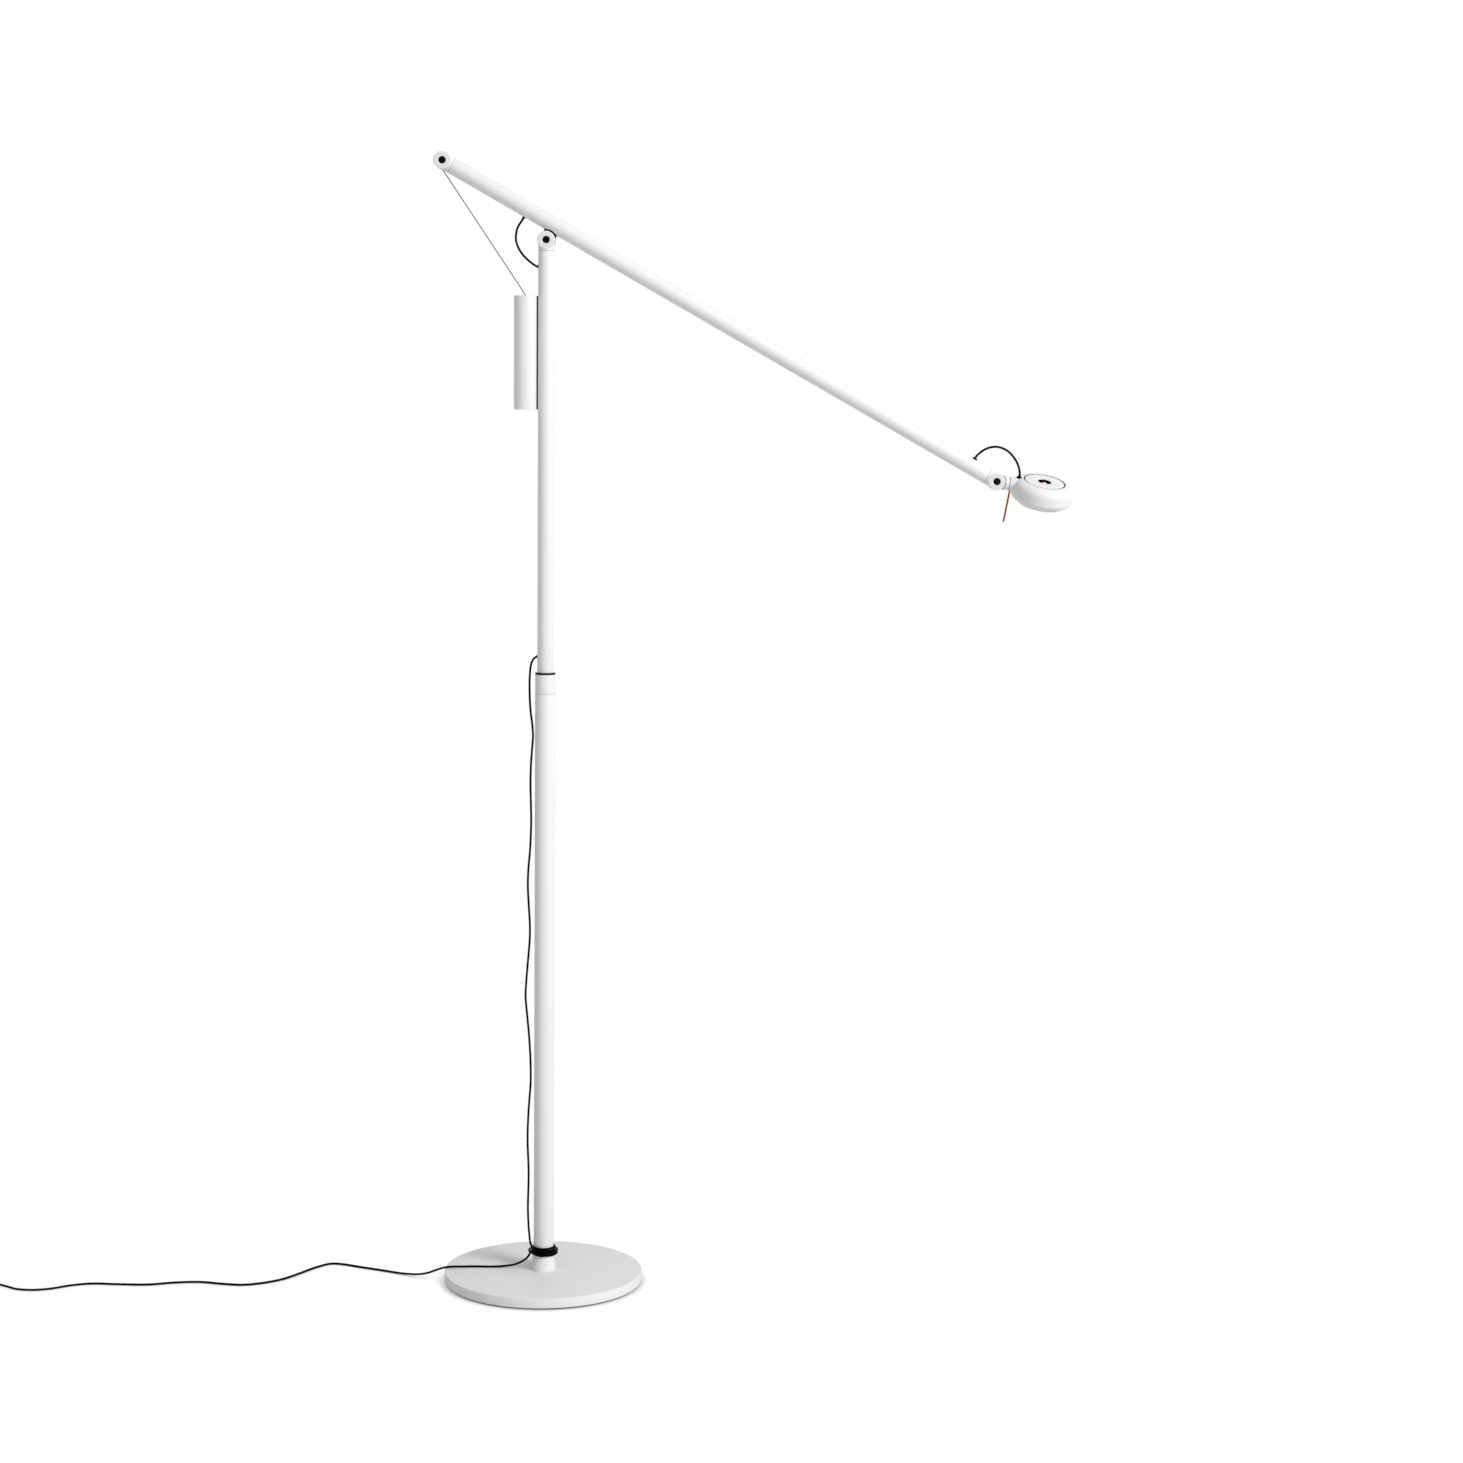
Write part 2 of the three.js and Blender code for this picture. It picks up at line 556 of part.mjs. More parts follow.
// tube notched round the stem's knuckle, slotted for the lug and drilled for leads and screws
function armTube() {
  const tube = alongX(pipe(TUBE_RADIUS, TUBE_BORE, TAIL_SEAM, HEAD_TUBE_END)).translate(0, 0, ARM_RISE);
  const notch = alongY(rod(BARREL_RADIUS + NOTCH_CLEARANCE, -TUBE_DIAMETER, TUBE_DIAMETER));
  const [across, half] = [TONGUE_RADIUS + CORD_GAP, TONGUE_WIDTH / 2 + CORD_GAP];
  const slot = block(-across, across, -half, half, 0, ARM_RISE);
  const tailHole = rod(GROMMET_HOLE, 0, ARM_RISE, SMALL).translate(-TAIL_LEAD_BACK, 0, 0);
  const headHole = rod(GROMMET_HOLE, ARM_RISE, 2 * ARM_RISE, SMALL).translate(ARM_REACH - HEAD_LEAD_BACK, 0, 0);
  return piece('arm_tube', cut(tube, notch, slot, tailHole, headHole, lugScrewForm(FIT)), ...PAINT);
}

// lug: a plug inside the arm tube with a tongue that reaches down between the stem's cheeks
function armLug() {
  const half = TONGUE_WIDTH / 2;
  const plug = alongX(rod(TUBE_BORE - FIT, -LUG_LENGTH / 2, LUG_LENGTH / 2)).translate(0, 0, ARM_RISE);
  const tongue = join(
    block(-TONGUE_RADIUS, TONGUE_RADIUS, -half, half, 0, ARM_RISE - TUBE_BORE / 2),
    alongY(rod(TONGUE_RADIUS, -half, half)),
  );
  const bore = alongY(rod(PIN_DIAMETER / 2 + FIT, -TUBE_RADIUS, TUBE_RADIUS, SMALL));
  const leadWay = alongX(rod(LEAD_WAY / 2, -LUG_LENGTH, LUG_LENGTH, SMALL));
  return piece('arm_lug', cut(
    join(plug, tongue), bore, leadWay.translate(0, 0, ARM_RISE - LEAD_DIAMETER), lugScrewForm(FIT),
  ), ...BLACK);
}

const lugScrew = () => piece('lug_screw', lugScrewForm(0), ...STEEL);

function armGrommets() {
  const tail = grommet(GROMMET_FLANGE, GROMMET_HEIGHT).rotateX(Math.PI);
  const head = grommet(TALL_GROMMET_FLANGE, TALL_GROMMET_HEIGHT);
  return [
    piece('tail_grommet', tail.translate(-TAIL_LEAD_BACK, 0, ARM_RISE - TUBE_RADIUS), ...RUBBER),
    piece('arm_grommet', head.translate(ARM_REACH - HEAD_LEAD_BACK, 0, ARM_RISE + TUBE_RADIUS), ...RUBBER),
  ];
}

function armInnerLead() {
  const [low, high] = [-TAIL_LEAD_BACK, ARM_REACH - HEAD_LEAD_BACK];
  const way = ARM_RISE - LEAD_DIAMETER;
  const [floor, ceiling] = [ARM_RISE - TUBE_BORE + CORD_GAP, ARM_RISE + TUBE_BORE - CORD_GAP];
  const points = [
    [low, floor], [low, floor + 1.5], [low + 3.5, way - 0.8], [low + 11, way], [LUG_LENGTH, way],
    [high - 60, way], [high - 12, way + 1], [high - 3, ceiling - 5.5], [high, ceiling - 1.5], [high, ceiling],
  ].map(([x, z]) => new THREE.Vector3(x, 0, z));
  return piece('arm_inner_lead', lead(points, 44), ...BLACK);
}

// tail knuckle, with a groove that lets the wire out under the arm
function tailKnuckle() {
  const groove = block(0, CAP_LENGTH - 2 * FIT, -WIRE_DIAMETER, WIRE_DIAMETER, -TUBE_DIAMETER, -WIRE_OFFSET + 1);
  const shape = cut(knuckle(ROLLER_WIDTH + 4 * SEAT).rotateY(-Math.PI / 2), groove);
  return piece('tail_knuckle', shape.translate(-ARM_TAIL, 0, ARM_RISE), ...PAINT);
}

function headKnuckle() {
  return piece('head_knuckle', knuckle(SLOT_WIDTH).rotateY(Math.PI / 2).translate(ARM_REACH, 0, ARM_RISE), ...PAINT);
}

// screws and nuts of the hinges at the arm's two ends
function armHinges() {
  return [['tail', -ARM_TAIL], ['head', ARM_REACH]].flatMap(([end, x]) => {
    const hardware = [hingeScrew(`${end}_hinge_screw`), hingeNut(`${end}_hinge_nut`)];
    hardware.forEach((mesh) => mesh.position.set(x, 0, ARM_RISE));
    return hardware;
  });
}

// ---------------------------------------------------------------------------------------------
// Wire with its roller, in a frame with the tail pin at the origin
// ---------------------------------------------------------------------------------------------

function wireRoller() {
  const half = ROLLER_WIDTH / 2;
  const bore = PIN_DIAMETER / 2 + FIT;
  const [rim, groove] = [ROLLER_DIAMETER / 2, ROLLER_GROOVE_DIAMETER / 2];
  return piece('wire_roller', alongY(turned([
    [bore, -half], [rim, -half], [rim, -WIRE_DIAMETER], [groove, -WIRE_DIAMETER / 2 - FIT],
    [groove, WIRE_DIAMETER / 2 + FIT], [rim, WIRE_DIAMETER], [rim, half], [bore, half], [bore, -half],
  ])), ...BLACK);
}

// wraps the roller, leaves it at a tangent and runs straight to its lower end
class WirePath extends THREE.Curve {
  constructor(offset, lowerEnd) {
    super();
    const distance = Math.hypot(lowerEnd.x, lowerEnd.z);
    const toEnd = Math.atan2(lowerEnd.z, lowerEnd.x);
    this.offset = offset;
    this.leave = toEnd - Math.acos(offset / distance);
    this.straight = Math.sqrt(distance * distance - offset * offset);
    this.direction = new THREE.Vector3(-Math.sin(this.leave), 0, Math.cos(this.leave));
  }

  // the first three quarters of the steps follow the roller, the last quarter the straight
  getPoint(t, target = new THREE.Vector3()) {
    const onWrap = Math.min(t / WIRE_WRAP_SHARE, 1);
    const angle = this.leave - (1 - onWrap) * WIRE_WRAP;
    const along = Math.max(t - WIRE_WRAP_SHARE, 0) / (1 - WIRE_WRAP_SHARE);
    target.set(this.offset * Math.cos(angle), 0, this.offset * Math.sin(angle));
    return target.addScaledVector(this.direction, along * this.straight);
  }

  getPointAt(u, target) {
    return this.getPoint(u, target);
  }

  getTangentAt(u, target) {
    return this.getTangent(u, target);
  }
}

function steelWire(lowerEnd) {
  return piece('steel_wire', cordAlong(new WirePath(WIRE_OFFSET, lowerEnd), 16, WIRE_DIAMETER / 2), ...STEEL);
}

// ---------------------------------------------------------------------------------------------
// Counterweight, in a frame with its top's centre at the origin and the stem toward +X
// ---------------------------------------------------------------------------------------------

const STEM_SIDE = WEIGHT_RADIUS + STRIP_SHOW;
const STRIP_FACE = STEM_SIDE - SEAT;
const STRIP_BACK = STRIP_FACE - STRIP_THICKNESS;

function weightBody() {
  const body = rod(WEIGHT_RADIUS, -WEIGHT_LENGTH, 0, FINE, WEIGHT_EDGE);
  const half = STRIP_WIDTH / 2 + FIT;
  const groove = block(STRIP_BACK - SEAT, STEM_SIDE, -half, half, -WEIGHT_LENGTH - 1, 1);
  const hole = rod(ANCHOR_DIAMETER / 2 + FIT, -ANCHOR_LENGTH - SEAT, 1, SMALL);
  return piece('weight_body', cut(body, groove, hole), ...PAINT);
}

// black magnetic strip in the counterweight's groove, which holds it to the steel stem
function magnetStrip() {
  const half = STRIP_WIDTH / 2;
  return piece('magnet_strip', block(STRIP_BACK, STRIP_FACE, -half, half, -WEIGHT_LENGTH, 0), ...RUBBER);
}

// threaded nipple in the top that grips the wire
function wireAnchor() {
  return piece('wire_anchor', rod(ANCHOR_DIAMETER / 2, -ANCHOR_LENGTH, 0, SMALL, 0.3), ...STEEL);
}

// ---------------------------------------------------------------------------------------------
// Neck, in a frame with the head pin at the origin and the head toward +X
// ---------------------------------------------------------------------------------------------

// knuckle: a short round neck, hollowed round the arm's cheeks, with a tongue between them
function neckKnuckle() {
  const body = alongX(rod(NECK_RADIUS, 0, NECK_SEAM));
  const hollow = alongY(rod(BARREL_RADIUS + NECK_GAP, -TUBE_DIAMETER, TUBE_DIAMETER));
  const [half, high] = [TONGUE_WIDTH / 2, NECK_TONGUE_HEIGHT / 2];
  const tongue = block(0, NECK_SEAM - 1, -half, half, -high, high);
  const bore = alongY(rod(PIN_DIAMETER / 2 + FIT, -TUBE_RADIUS, TUBE_RADIUS, SMALL));
  const thread = alongX(rod(SWIVEL_SCREW_DIAMETER / 2 + FIT, NECK_SEAM - SWIVEL_THREAD - FIT, NECK_SEAM + 1, SMALL));
  const shape = join(cut(body, hollow), tongue, alongY(rod(TONGUE_RADIUS, -half, half)));
  return piece('neck_knuckle', cut(shape, bore, thread), ...PAINT);
}

function swivelScrew() {
  const [shank, head] = [SWIVEL_SCREW_DIAMETER / 2, SWIVEL_HEAD_DIAMETER / 2];
  const shoulder = HEAD_SEAM + SWIVEL_WALL + SEAT;
  const low = NECK_SEAM - SWIVEL_THREAD;
  return piece('swivel_screw', alongX(turned([
    [0, low], [shank, low], [shank, shoulder], [head, shoulder], [head, shoulder + SWIVEL_HEAD_HEIGHT],
    [0, shoulder + SWIVEL_HEAD_HEIGHT],
  ], SMALL)), ...STEEL);
}

// ---------------------------------------------------------------------------------------------
// Head, in the neck's frame turned about +X: the disc lies across +Z, the light shines to -Z
// ---------------------------------------------------------------------------------------------

const onHeadAxis = (geometry) => geometry.translate(HEAD_REACH, 0, 0);

const standoffPlaces = Array.from({ length: STANDOFF_COUNT }, (_, i) => {
  const angle = Math.PI / 3 + (2 * Math.PI * i) / STANDOFF_COUNT;
  return [Math.cos(angle) * (STANDOFF_CIRCLE / 2), Math.sin(angle) * (STANDOFF_CIRCLE / 2)];
});

// outer form of the head: a thick disc with well-rounded rims, flaring out of the neck
function headForm() {
  const [low, high] = [HEAD_FOOT_ROUNDING, HEAD_TOP_ROUNDING];
  const disc = onHeadAxis(turned([
    [0, HEAD_FOOT],
    ...arc(HEAD_RADIUS - low, HEAD_FOOT + low, low, -Math.PI / 2, 0),
    ...arc(HEAD_RADIUS - high, HEAD_TOP - high, high, 0, Math.PI / 2),
    [0, HEAD_TOP],
  ], FINE));
  const start = HEAD_REACH - HEAD_RADIUS;
  const flare = alongX(turned([
    [0, HEAD_SEAM], [NECK_RADIUS, HEAD_SEAM], [NECK_RADIUS, start - 2], [NECK_RADIUS + 0.3, start],
    [NECK_RADIUS + 0.9, start + 2.5], [NECK_RADIUS + 0.9, start + 11], [0, start + 11],
  ]));
  return join(disc, flare);
}

function headHousing() {
  const seat = COVER_FOOT - SEAT;
  const mouth = onHeadAxis(rod(CHAMBER_DIAMETER / 2, HEAD_FOOT - 1, CHAMBER_TOP, FINE));
  const chamber = onHeadAxis(rod(HEAD_HOLLOW_DIAMETER / 2, HEAD_FOOT + HEAD_LIP, CHAMBER_TOP, FINE));
  const recess = onHeadAxis(rod(COVER_DIAMETER / 2 + COVER_SLOT, seat, HEAD_TOP + 1, FINE));
  const cupHole = onHeadAxis(rod(CUP_DIAMETER / 2 + 2 * FIT, CHAMBER_TOP - 1, HEAD_TOP));
  const pocketStart = HEAD_SEAM + SWIVEL_WALL;
  const screwWay = alongX(rod(SWIVEL_SCREW_DIAMETER / 2 + FIT, HEAD_SEAM - 1, pocketStart + 1, SMALL));
  const screwPocket = alongX(rod(SWIVEL_HEAD_DIAMETER / 2 + CORD_GAP, pocketStart, HEAD_REACH / 2 + 5));
  const handleHole = rod(HANDLE_DIAMETER / 2 + FIT, -HEAD_THICKNESS, -NECK_RADIUS + HANDLE_SINK, SMALL);
  const leadHole = rod(GROMMET_HOLE, 0, HEAD_TOP + 5, SMALL);
  const leadSeat = rod(HEAD_SEAT_RADIUS, HEAD_GROMMET_SEAT, HEAD_TOP + 5, SMALL);
  const shell = cut(
    headForm(), mouth, chamber, recess, cupHole, screwWay, screwPocket,
    handleHole.translate(HANDLE_BACK, 0, 0), leadHole.translate(HEAD_LEAD_FORWARD, 0, 0),
    leadSeat.translate(HEAD_LEAD_FORWARD, 0, 0),
  );
  const standoffs = standoffPlaces.map(([x, y]) => cut(
    onHeadAxis(rod(STANDOFF_DIAMETER / 2, SPREADER_TOP + SEAT, CHAMBER_TOP + 0.5, SMALL)),
    onHeadAxis(rod(SCREW_DIAMETER / 2 + FIT, SPREADER_TOP, SPREADER_FOOT + SCREW_LENGTH + SEAT, SMALL)),
  ).translate(x, y, 0));
  return piece('head_housing', join(shell, ...standoffs), ...PAINT);
}

function headCover() {
  const [radius, bore] = [COVER_DIAMETER / 2, CUP_DIAMETER / 2 + FIT];
  return piece('head_cover', onHeadAxis(turned([
    [bore, COVER_FOOT], [radius, COVER_FOOT], [radius, COVER_TOP - 0.4], [radius - 0.4, COVER_TOP],
    [bore + 0.3, COVER_TOP], [bore, COVER_TOP - 0.3], [bore, COVER_FOOT],
  ], FINE)), ...PAINT);
}

// black well in the cover's middle that guides the button
function switchCup() {
  const outer = CUP_DIAMETER / 2;
  const inner = outer - CUP_WALL;
  const bore = BUTTON_STEM_DIAMETER / 2 + FIT;
  const floor = CUP_FOOT + CUP_FLOOR;
  return piece('switch_cup', onHeadAxis(turned([
    [bore, CUP_FOOT], [outer + CUP_FLANGE, CUP_FOOT], [outer + CUP_FLANGE, floor], [outer, floor],
    [outer, CUP_TOP], [inner, CUP_TOP], [inner, floor], [bore, floor], [bore, CUP_FOOT],
  ])), ...BLACK);
}

function dimmerButton() {
  const [cap, stem] = [BUTTON_DIAMETER / 2, BUTTON_STEM_DIAMETER / 2];
  const shoulder = BUTTON_TOP - BUTTON_HEIGHT;
  return piece('dimmer_button', onHeadAxis(turned([
    [0, BUTTON_FOOT], [stem, BUTTON_FOOT], [stem, shoulder], [cap, shoulder], [cap, BUTTON_TOP - 0.5],
    [cap - 0.5, BUTTON_TOP], [0, BUTTON_TOP],
  ], SMALL)), '#e9cfd2', 0.4, 0);
}

// board with the dimmer's switch under the button
function dimmerBoard() {
  const half = SWITCH_WIDTH / 2;
  const board = rod(DIMMER_DIAMETER / 2, DIMMER_TOP - BOARD_THICKNESS, DIMMER_TOP);
  const body = block(-half, half, -half, half, DIMMER_TOP - 0.2, SWITCH_TOP - 0.5);
  const plunger = rod(half / 2, SWITCH_TOP - 1, SWITCH_TOP, SMALL);
  return piece('dimmer_board', onHeadAxis(join(board, body, plunger)), '#1f5a34', 0.5, 0);
}

function heatSpreader() {
  const plate = rod(CHAMBER_DIAMETER / 2 - 2 * FIT, SPREADER_FOOT, SPREADER_TOP, FINE);
  const holes = standoffPlaces.map(([x, y]) => (
    rod(SCREW_DIAMETER / 2 + FIT, SPREADER_FOOT - 1, SPREADER_TOP + 1, SMALL).translate(x, y, 0)));
  return piece('heat_spreader', onHeadAxis(cut(plate, ...holes)), '#b9bbbd', 0.35, 1);
}

function spreaderScrews() {
  const head = SPREADER_FOOT - SEAT;
  return standoffPlaces.map(([x, y], i) => piece(`spreader_screw_${i + 1}`, turned([
    [0, head - SCREW_HEAD_HEIGHT], [SCREW_HEAD_DIAMETER / 2, head - SCREW_HEAD_HEIGHT],
    [SCREW_HEAD_DIAMETER / 2, head], [SCREW_DIAMETER / 2, head],
    [SCREW_DIAMETER / 2, SPREADER_FOOT + SCREW_LENGTH], [0, SPREADER_FOOT + SCREW_LENGTH],
  ], SMALL).translate(x + HEAD_REACH, y, 0), ...STEEL));
}

// board with the light source, facing down
function ledBoard() {
  const board = rod(LED_BOARD_DIAMETER / 2, LED_BOARD_FOOT, LED_BOARD_FOOT + BOARD_THICKNESS);
  const light = rod(LED_DIAMETER / 2, LED_BOARD_FOOT - LED_THICKNESS, LED_BOARD_FOOT + 0.3, SMALL);
  return piece('led_board', onHeadAxis(join(board, light)), '#f0d98a', 0.5, 0);
}

function reflector() {
  const top = LED_BOARD_FOOT - SEAT;
  const low = DIFFUSER_TOP + SEAT;
  const inner = LED_DIAMETER / 2 + 2 * SEAT;
  const wide = DIFFUSER_RADIUS - 2;
  return piece('reflector', onHeadAxis(turned([
    [inner, top], [inner + REFLECTOR_WALL, top], [wide + REFLECTOR_WALL, low + REFLECTOR_WALL],
    [DIFFUSER_RADIUS, low + REFLECTOR_WALL], [DIFFUSER_RADIUS, low], [wide, low], [inner, top],
  ])), '#f2f2f2', 0.3, 0.2);
}

function diffuser() {
  return piece('diffuser', onHeadAxis(rod(DIFFUSER_RADIUS, RING_TOP + SEAT, DIFFUSER_TOP, FINE)), '#f7f5ee', 0.35, 0);
}

// ring that closes the head's underside and holds the diffuser, with a skirt in the chamber
function lensRing() {
  const outer = RING_DIAMETER / 2;
  const skirt = CHAMBER_DIAMETER / 2 - 2 * FIT;
  const inner = skirt - REFLECTOR_WALL;
  const low = RING_TOP - RING_HEIGHT;
  return piece('lens_ring', onHeadAxis(turned([
    [RING_OPENING / 2, low], [outer - 1, low], [outer, low + 1], [outer, RING_TOP], [skirt, RING_TOP],
    [skirt, RING_TOP + RING_SKIRT], [inner, RING_TOP + RING_SKIRT], [inner, RING_TOP],
    [RING_OPENING / 2, RING_TOP], [RING_OPENING / 2, low],
  ], FINE)), ...PAINT);
}

// thin coloured rod that turns the head without touching it where it is hot
function handlePin() {
  const [radius, top] = [HANDLE_DIAMETER / 2, -NECK_RADIUS + HANDLE_SINK - SEAT];
  const shape = turned([
    [0, -HANDLE_TIP], ...arc(0, -HANDLE_TIP + radius, radius, -Math.PI / 2, 0, 4), [radius, top], [0, top],
  ], SMALL);
  return piece('handle_pin', shape.translate(HANDLE_BACK, 0, 0), '#e2502c', 0.4, 0);
}

function headGrommet() {
  const shape = grommet(TALL_GROMMET_FLANGE, TALL_GROMMET_HEIGHT);
  return piece('head_grommet', shape.translate(HEAD_LEAD_FORWARD, 0, HEAD_GROMMET_SEAT), ...RUBBER);
}

// ---------------------------------------------------------------------------------------------
// Leads over the hinges, power cord and adapter
// ---------------------------------------------------------------------------------------------

// lead that loops over the arm's pivot; the middle points are chosen by hand, from the pivot
function pivotLead(stemEnd, armEnd, armOut) {
  const middle = [
    [-18.6, -27.4], [-24.2, -22.8], [-30.2, -16.4], [-34.9, -9.2], [-37.4, -2.4], [-37.8, 3], [-36.8, 9.6],
    [-34.6, 16],
  ].map(([x, z]) => new THREE.Vector3(x, 0, z));
  const out = stemEnd.clone().add(new THREE.Vector3(-2.6, 0, 0.6));
  const inward = armEnd.clone().addScaledVector(armOut, 3);
  return piece('pivot_lead', lead([stemEnd, out, ...middle, inward, armEnd], 32), ...BLACK);
}

// lead that arches over the head's hinge; the middle points are chosen by hand, from the head pin
function headLead(armEnd, armOut, headEnd, headOut) {
  const middle = [
    [-22.9, -0.1, 33.4], [-17.9, -0.3, 37.6], [-10.8, -0.6, 41], [-1.8, -1.2, 42.5], [6, -1.8, 41.2],
    [13.1, -2.6, 37.6], [19, -3.5, 32], [23.6, -4.4, 25.6], [26.9, -5, 18.6],
  ].map((place) => new THREE.Vector3(...place));
  const leave = armEnd.clone().addScaledVector(armOut, 2.5);
  const arrive = headEnd.clone().addScaledVector(headOut, 4);
  return piece('head_lead', lead([armEnd, leave, ...middle, arrive, headEnd], 36), ...BLACK);
}

// power cord that hangs beside the stem, from the gland to the wraps round its foot
function cordHanging() {
  const exit = UPPER_FOOT + CORD_EXIT_HEIGHT;
  const start = -TUBE_RADIUS - SEAT - GROMMET_HEIGHT - CORD_GAP;
  const points = [
    [start, exit], [start - 1.6, exit - 0.2], [-15.6, exit - 2.8], [-17.6, exit - 7.6], [-18.9, 783], [-19.4, 769],
    [-19.5, 753.7], [-18.4, 730], [-15.9, 704], [-16.2, 681], [-17.9, 650], [-17.7, 615], [-17.2, 584],
    [-18.6, 551], [-20.9, 516], [-19.8, 482], [-18.2, 455], [-18.8, 436], [-21.6, 402], [-23.6, 369],
    [-21.8, 344], [-19, 315], [-17, 272], [-18.8, 231], [-20.6, 190], [-19, 141], [-20, 96], [-18.7, 72],
    [-16.6, 56], [-15.6, WRAP_FOOT + WRAP_HEIGHT + CORD_GAP],
  ].map(([x, z]) => new THREE.Vector3(x, 0, z));
  return piece('cord_hanging', lead(points, 64), ...BLACK);
}

// outline of the turns wound round the stem's foot, resting on the boss
function cordWraps() {
  const inner = LOWER_RADIUS + CORD_GAP;
  return piece('cord_wraps', pipe(inner + WRAP_THICKNESS, inner, WRAP_FOOT, WRAP_FOOT + WRAP_HEIGHT), ...BLACK);
}

// power cord from the wraps over the base's rim and along the floor to the coil
function cordFloor() {
  const onBase = BASE_TOP + LEAD_RADIUS + 0.3;
  const onFloor = LEAD_RADIUS + 0.1;
  const start = -(LOWER_RADIUS + CORD_GAP + WRAP_THICKNESS) - CORD_GAP;
  const points = [
    [start - 1.3, 2, 36], [start - 2.4, 2.6, 32], [-23.6, 3.2, 27.2], [-28.4, 3.6, 22.4], [-36, 3.7, 18.8],
    [-46, 3.6, 16.8], [-64, 3.5, onBase], [-88, 3.5, onBase], [-107, 2, onBase], [-122, -1.6, onBase + 0.5],
    [-134, -3.4, 13.2], [-146, -1.8, 8.2], [-158, 2.6, 4.7], [-179, 13, 2.1], [-209, 28.6, onFloor],
    [-241, 43, onFloor], [-262, 53, onFloor], [-278, 55.5, onFloor], [-295, 39, onFloor],
    [-313, 11, onFloor], [-331, -14, onFloor], [-354, -31, onFloor], [-377, -39, onFloor],
    [-402, -36, onFloor], [-432, -29, onFloor], [-462, -32, onFloor], [-496, -42, onFloor],
    [-533, -42, onFloor], [-567, -40.5, onFloor], [-591, -48.5, onFloor], [-613, -63, onFloor],
    [-634, -69.4, onFloor], [-655, -66.5, onFloor], [-670, -58.5, onFloor],
  ].map((place) => new THREE.Vector3(...place));
  const arrive = [6, 0].map((back) => (
    new THREE.Vector3(COIL_CENTRE.x + COIL_OUTER + CORD_GAP + back, COIL_CENTRE.y, onFloor)));
  return piece('cord_floor', lead([...points, ...arrive], 72), ...BLACK);
}

// outline of the spare length, wound into a neat round coil that lies on the floor
function cordCoil() {
  const half = COIL_ROWS * LEAD_RADIUS;
  const [inner, outer] = [COIL_MIDDLE_DIAMETER / 2 - half, COIL_OUTER];
  const ring = pipe(outer, inner, 0, COIL_LAYERS * LEAD_DIAMETER);
  return piece('cord_coil', ring.translate(COIL_CENTRE.x, COIL_CENTRE.y, 0), ...BLACK);
}

// last stretch, from the coil to the adapter's strain relief
function cordTail() {
  const end = ADAPTER_CENTRE.y + ADAPTER_SIZE.y / 2 + SEAT + RELIEF_LENGTH + CORD_GAP;
  const side = COIL_CENTRE.x - COIL_OUTER - CORD_GAP - LEAD_RADIUS;
  const points = [
    [side, COIL_CENTRE.y, RELIEF_HEIGHT + 0.6], [side, COIL_CENTRE.y - 8, RELIEF_HEIGHT + 0.2],
    [side + 2.2, COIL_CENTRE.y - 20, RELIEF_HEIGHT - 0.6], [ADAPTER_CENTRE.x - 1.6, end + 9, RELIEF_HEIGHT - 0.4],
    [ADAPTER_CENTRE.x, end + 2, RELIEF_HEIGHT],
    [ADAPTER_CENTRE.x, end, RELIEF_HEIGHT],
  ].map((place) => new THREE.Vector3(...place));
  return piece('cord_tail', lead(points, 16), ...BLACK);
}

// plug-in power supply, lying on the floor
function adapterBody() {
  const [x, y] = [ADAPTER_SIZE.x / 2 - ADAPTER_CORNER, ADAPTER_SIZE.y / 2 - ADAPTER_CORNER];
  const outline = new THREE.Shape();
  outline.absarc(x, y, ADAPTER_CORNER, 0, Math.PI / 2);
  outline.absarc(-x, y, ADAPTER_CORNER, Math.PI / 2, Math.PI);
  outline.absarc(-x, -y, ADAPTER_CORNER, Math.PI, 1.5 * Math.PI);
  outline.absarc(x, -y, ADAPTER_CORNER, 1.5 * Math.PI, 2 * Math.PI);
  const shape = new THREE.ExtrudeGeometry(outline, { depth: ADAPTER_SIZE.z, bevelEnabled: false, curveSegments: 5 });
  return piece('adapter_body', shape.translate(ADAPTER_CENTRE.x, ADAPTER_CENTRE.y, 0), ...BLACK);
}

// plate on the supply's end face with the two round pins
function adapterPlug() {
  const [x, z] = [ADAPTER_PLATE_WIDTH / 2, ADAPTER_PLATE_HEIGHT / 2];
  const pins = [-1, 1].map((side) => (
    alongY(rod(ADAPTER_PIN_DIAMETER / 2, -ADAPTER_PIN_LENGTH, -ADAPTER_PLATE_THICKNESS / 2, SMALL, 0.8))
      .translate((side * ADAPTER_PIN_SPACING) / 2, 0, 0)));
  const plug = join(block(-x, x, -ADAPTER_PLATE_THICKNESS, 0, -z, z), ...pins);
  const face = ADAPTER_CENTRE.y - ADAPTER_SIZE.y / 2 - SEAT;
  return piece('adapter_plug', plug.translate(ADAPTER_CENTRE.x, face, ADAPTER_SIZE.z / 2), ...STEEL);
}

function adapterRelief() {
  const [wide, tip] = [RELIEF_DIAMETER / 2, RELIEF_TIP_DIAMETER / 2];
  const shape = alongY(turned([[0, 0], [wide, 0], [tip, RELIEF_LENGTH], [0, RELIEF_LENGTH]], SMALL));
  const foot = ADAPTER_CENTRE.y + ADAPTER_SIZE.y / 2 + SEAT;
  return piece('adapter_relief', shape.translate(ADAPTER_CENTRE.x, foot, RELIEF_HEIGHT), ...RUBBER);
}

// ---------------------------------------------------------------------------------------------
// Assembly
// ---------------------------------------------------------------------------------------------

const lamp = new THREE.Group();
lamp.add(
  basePad(), basePlate(), baseBolt(), baseBoss(), footPlug(), lowerTube(), stemCollar(), swivelBush(),
  stemSpindle(), spindleClip(), upperTube(), ...stemGrommets(), stemInnerLead(),
);

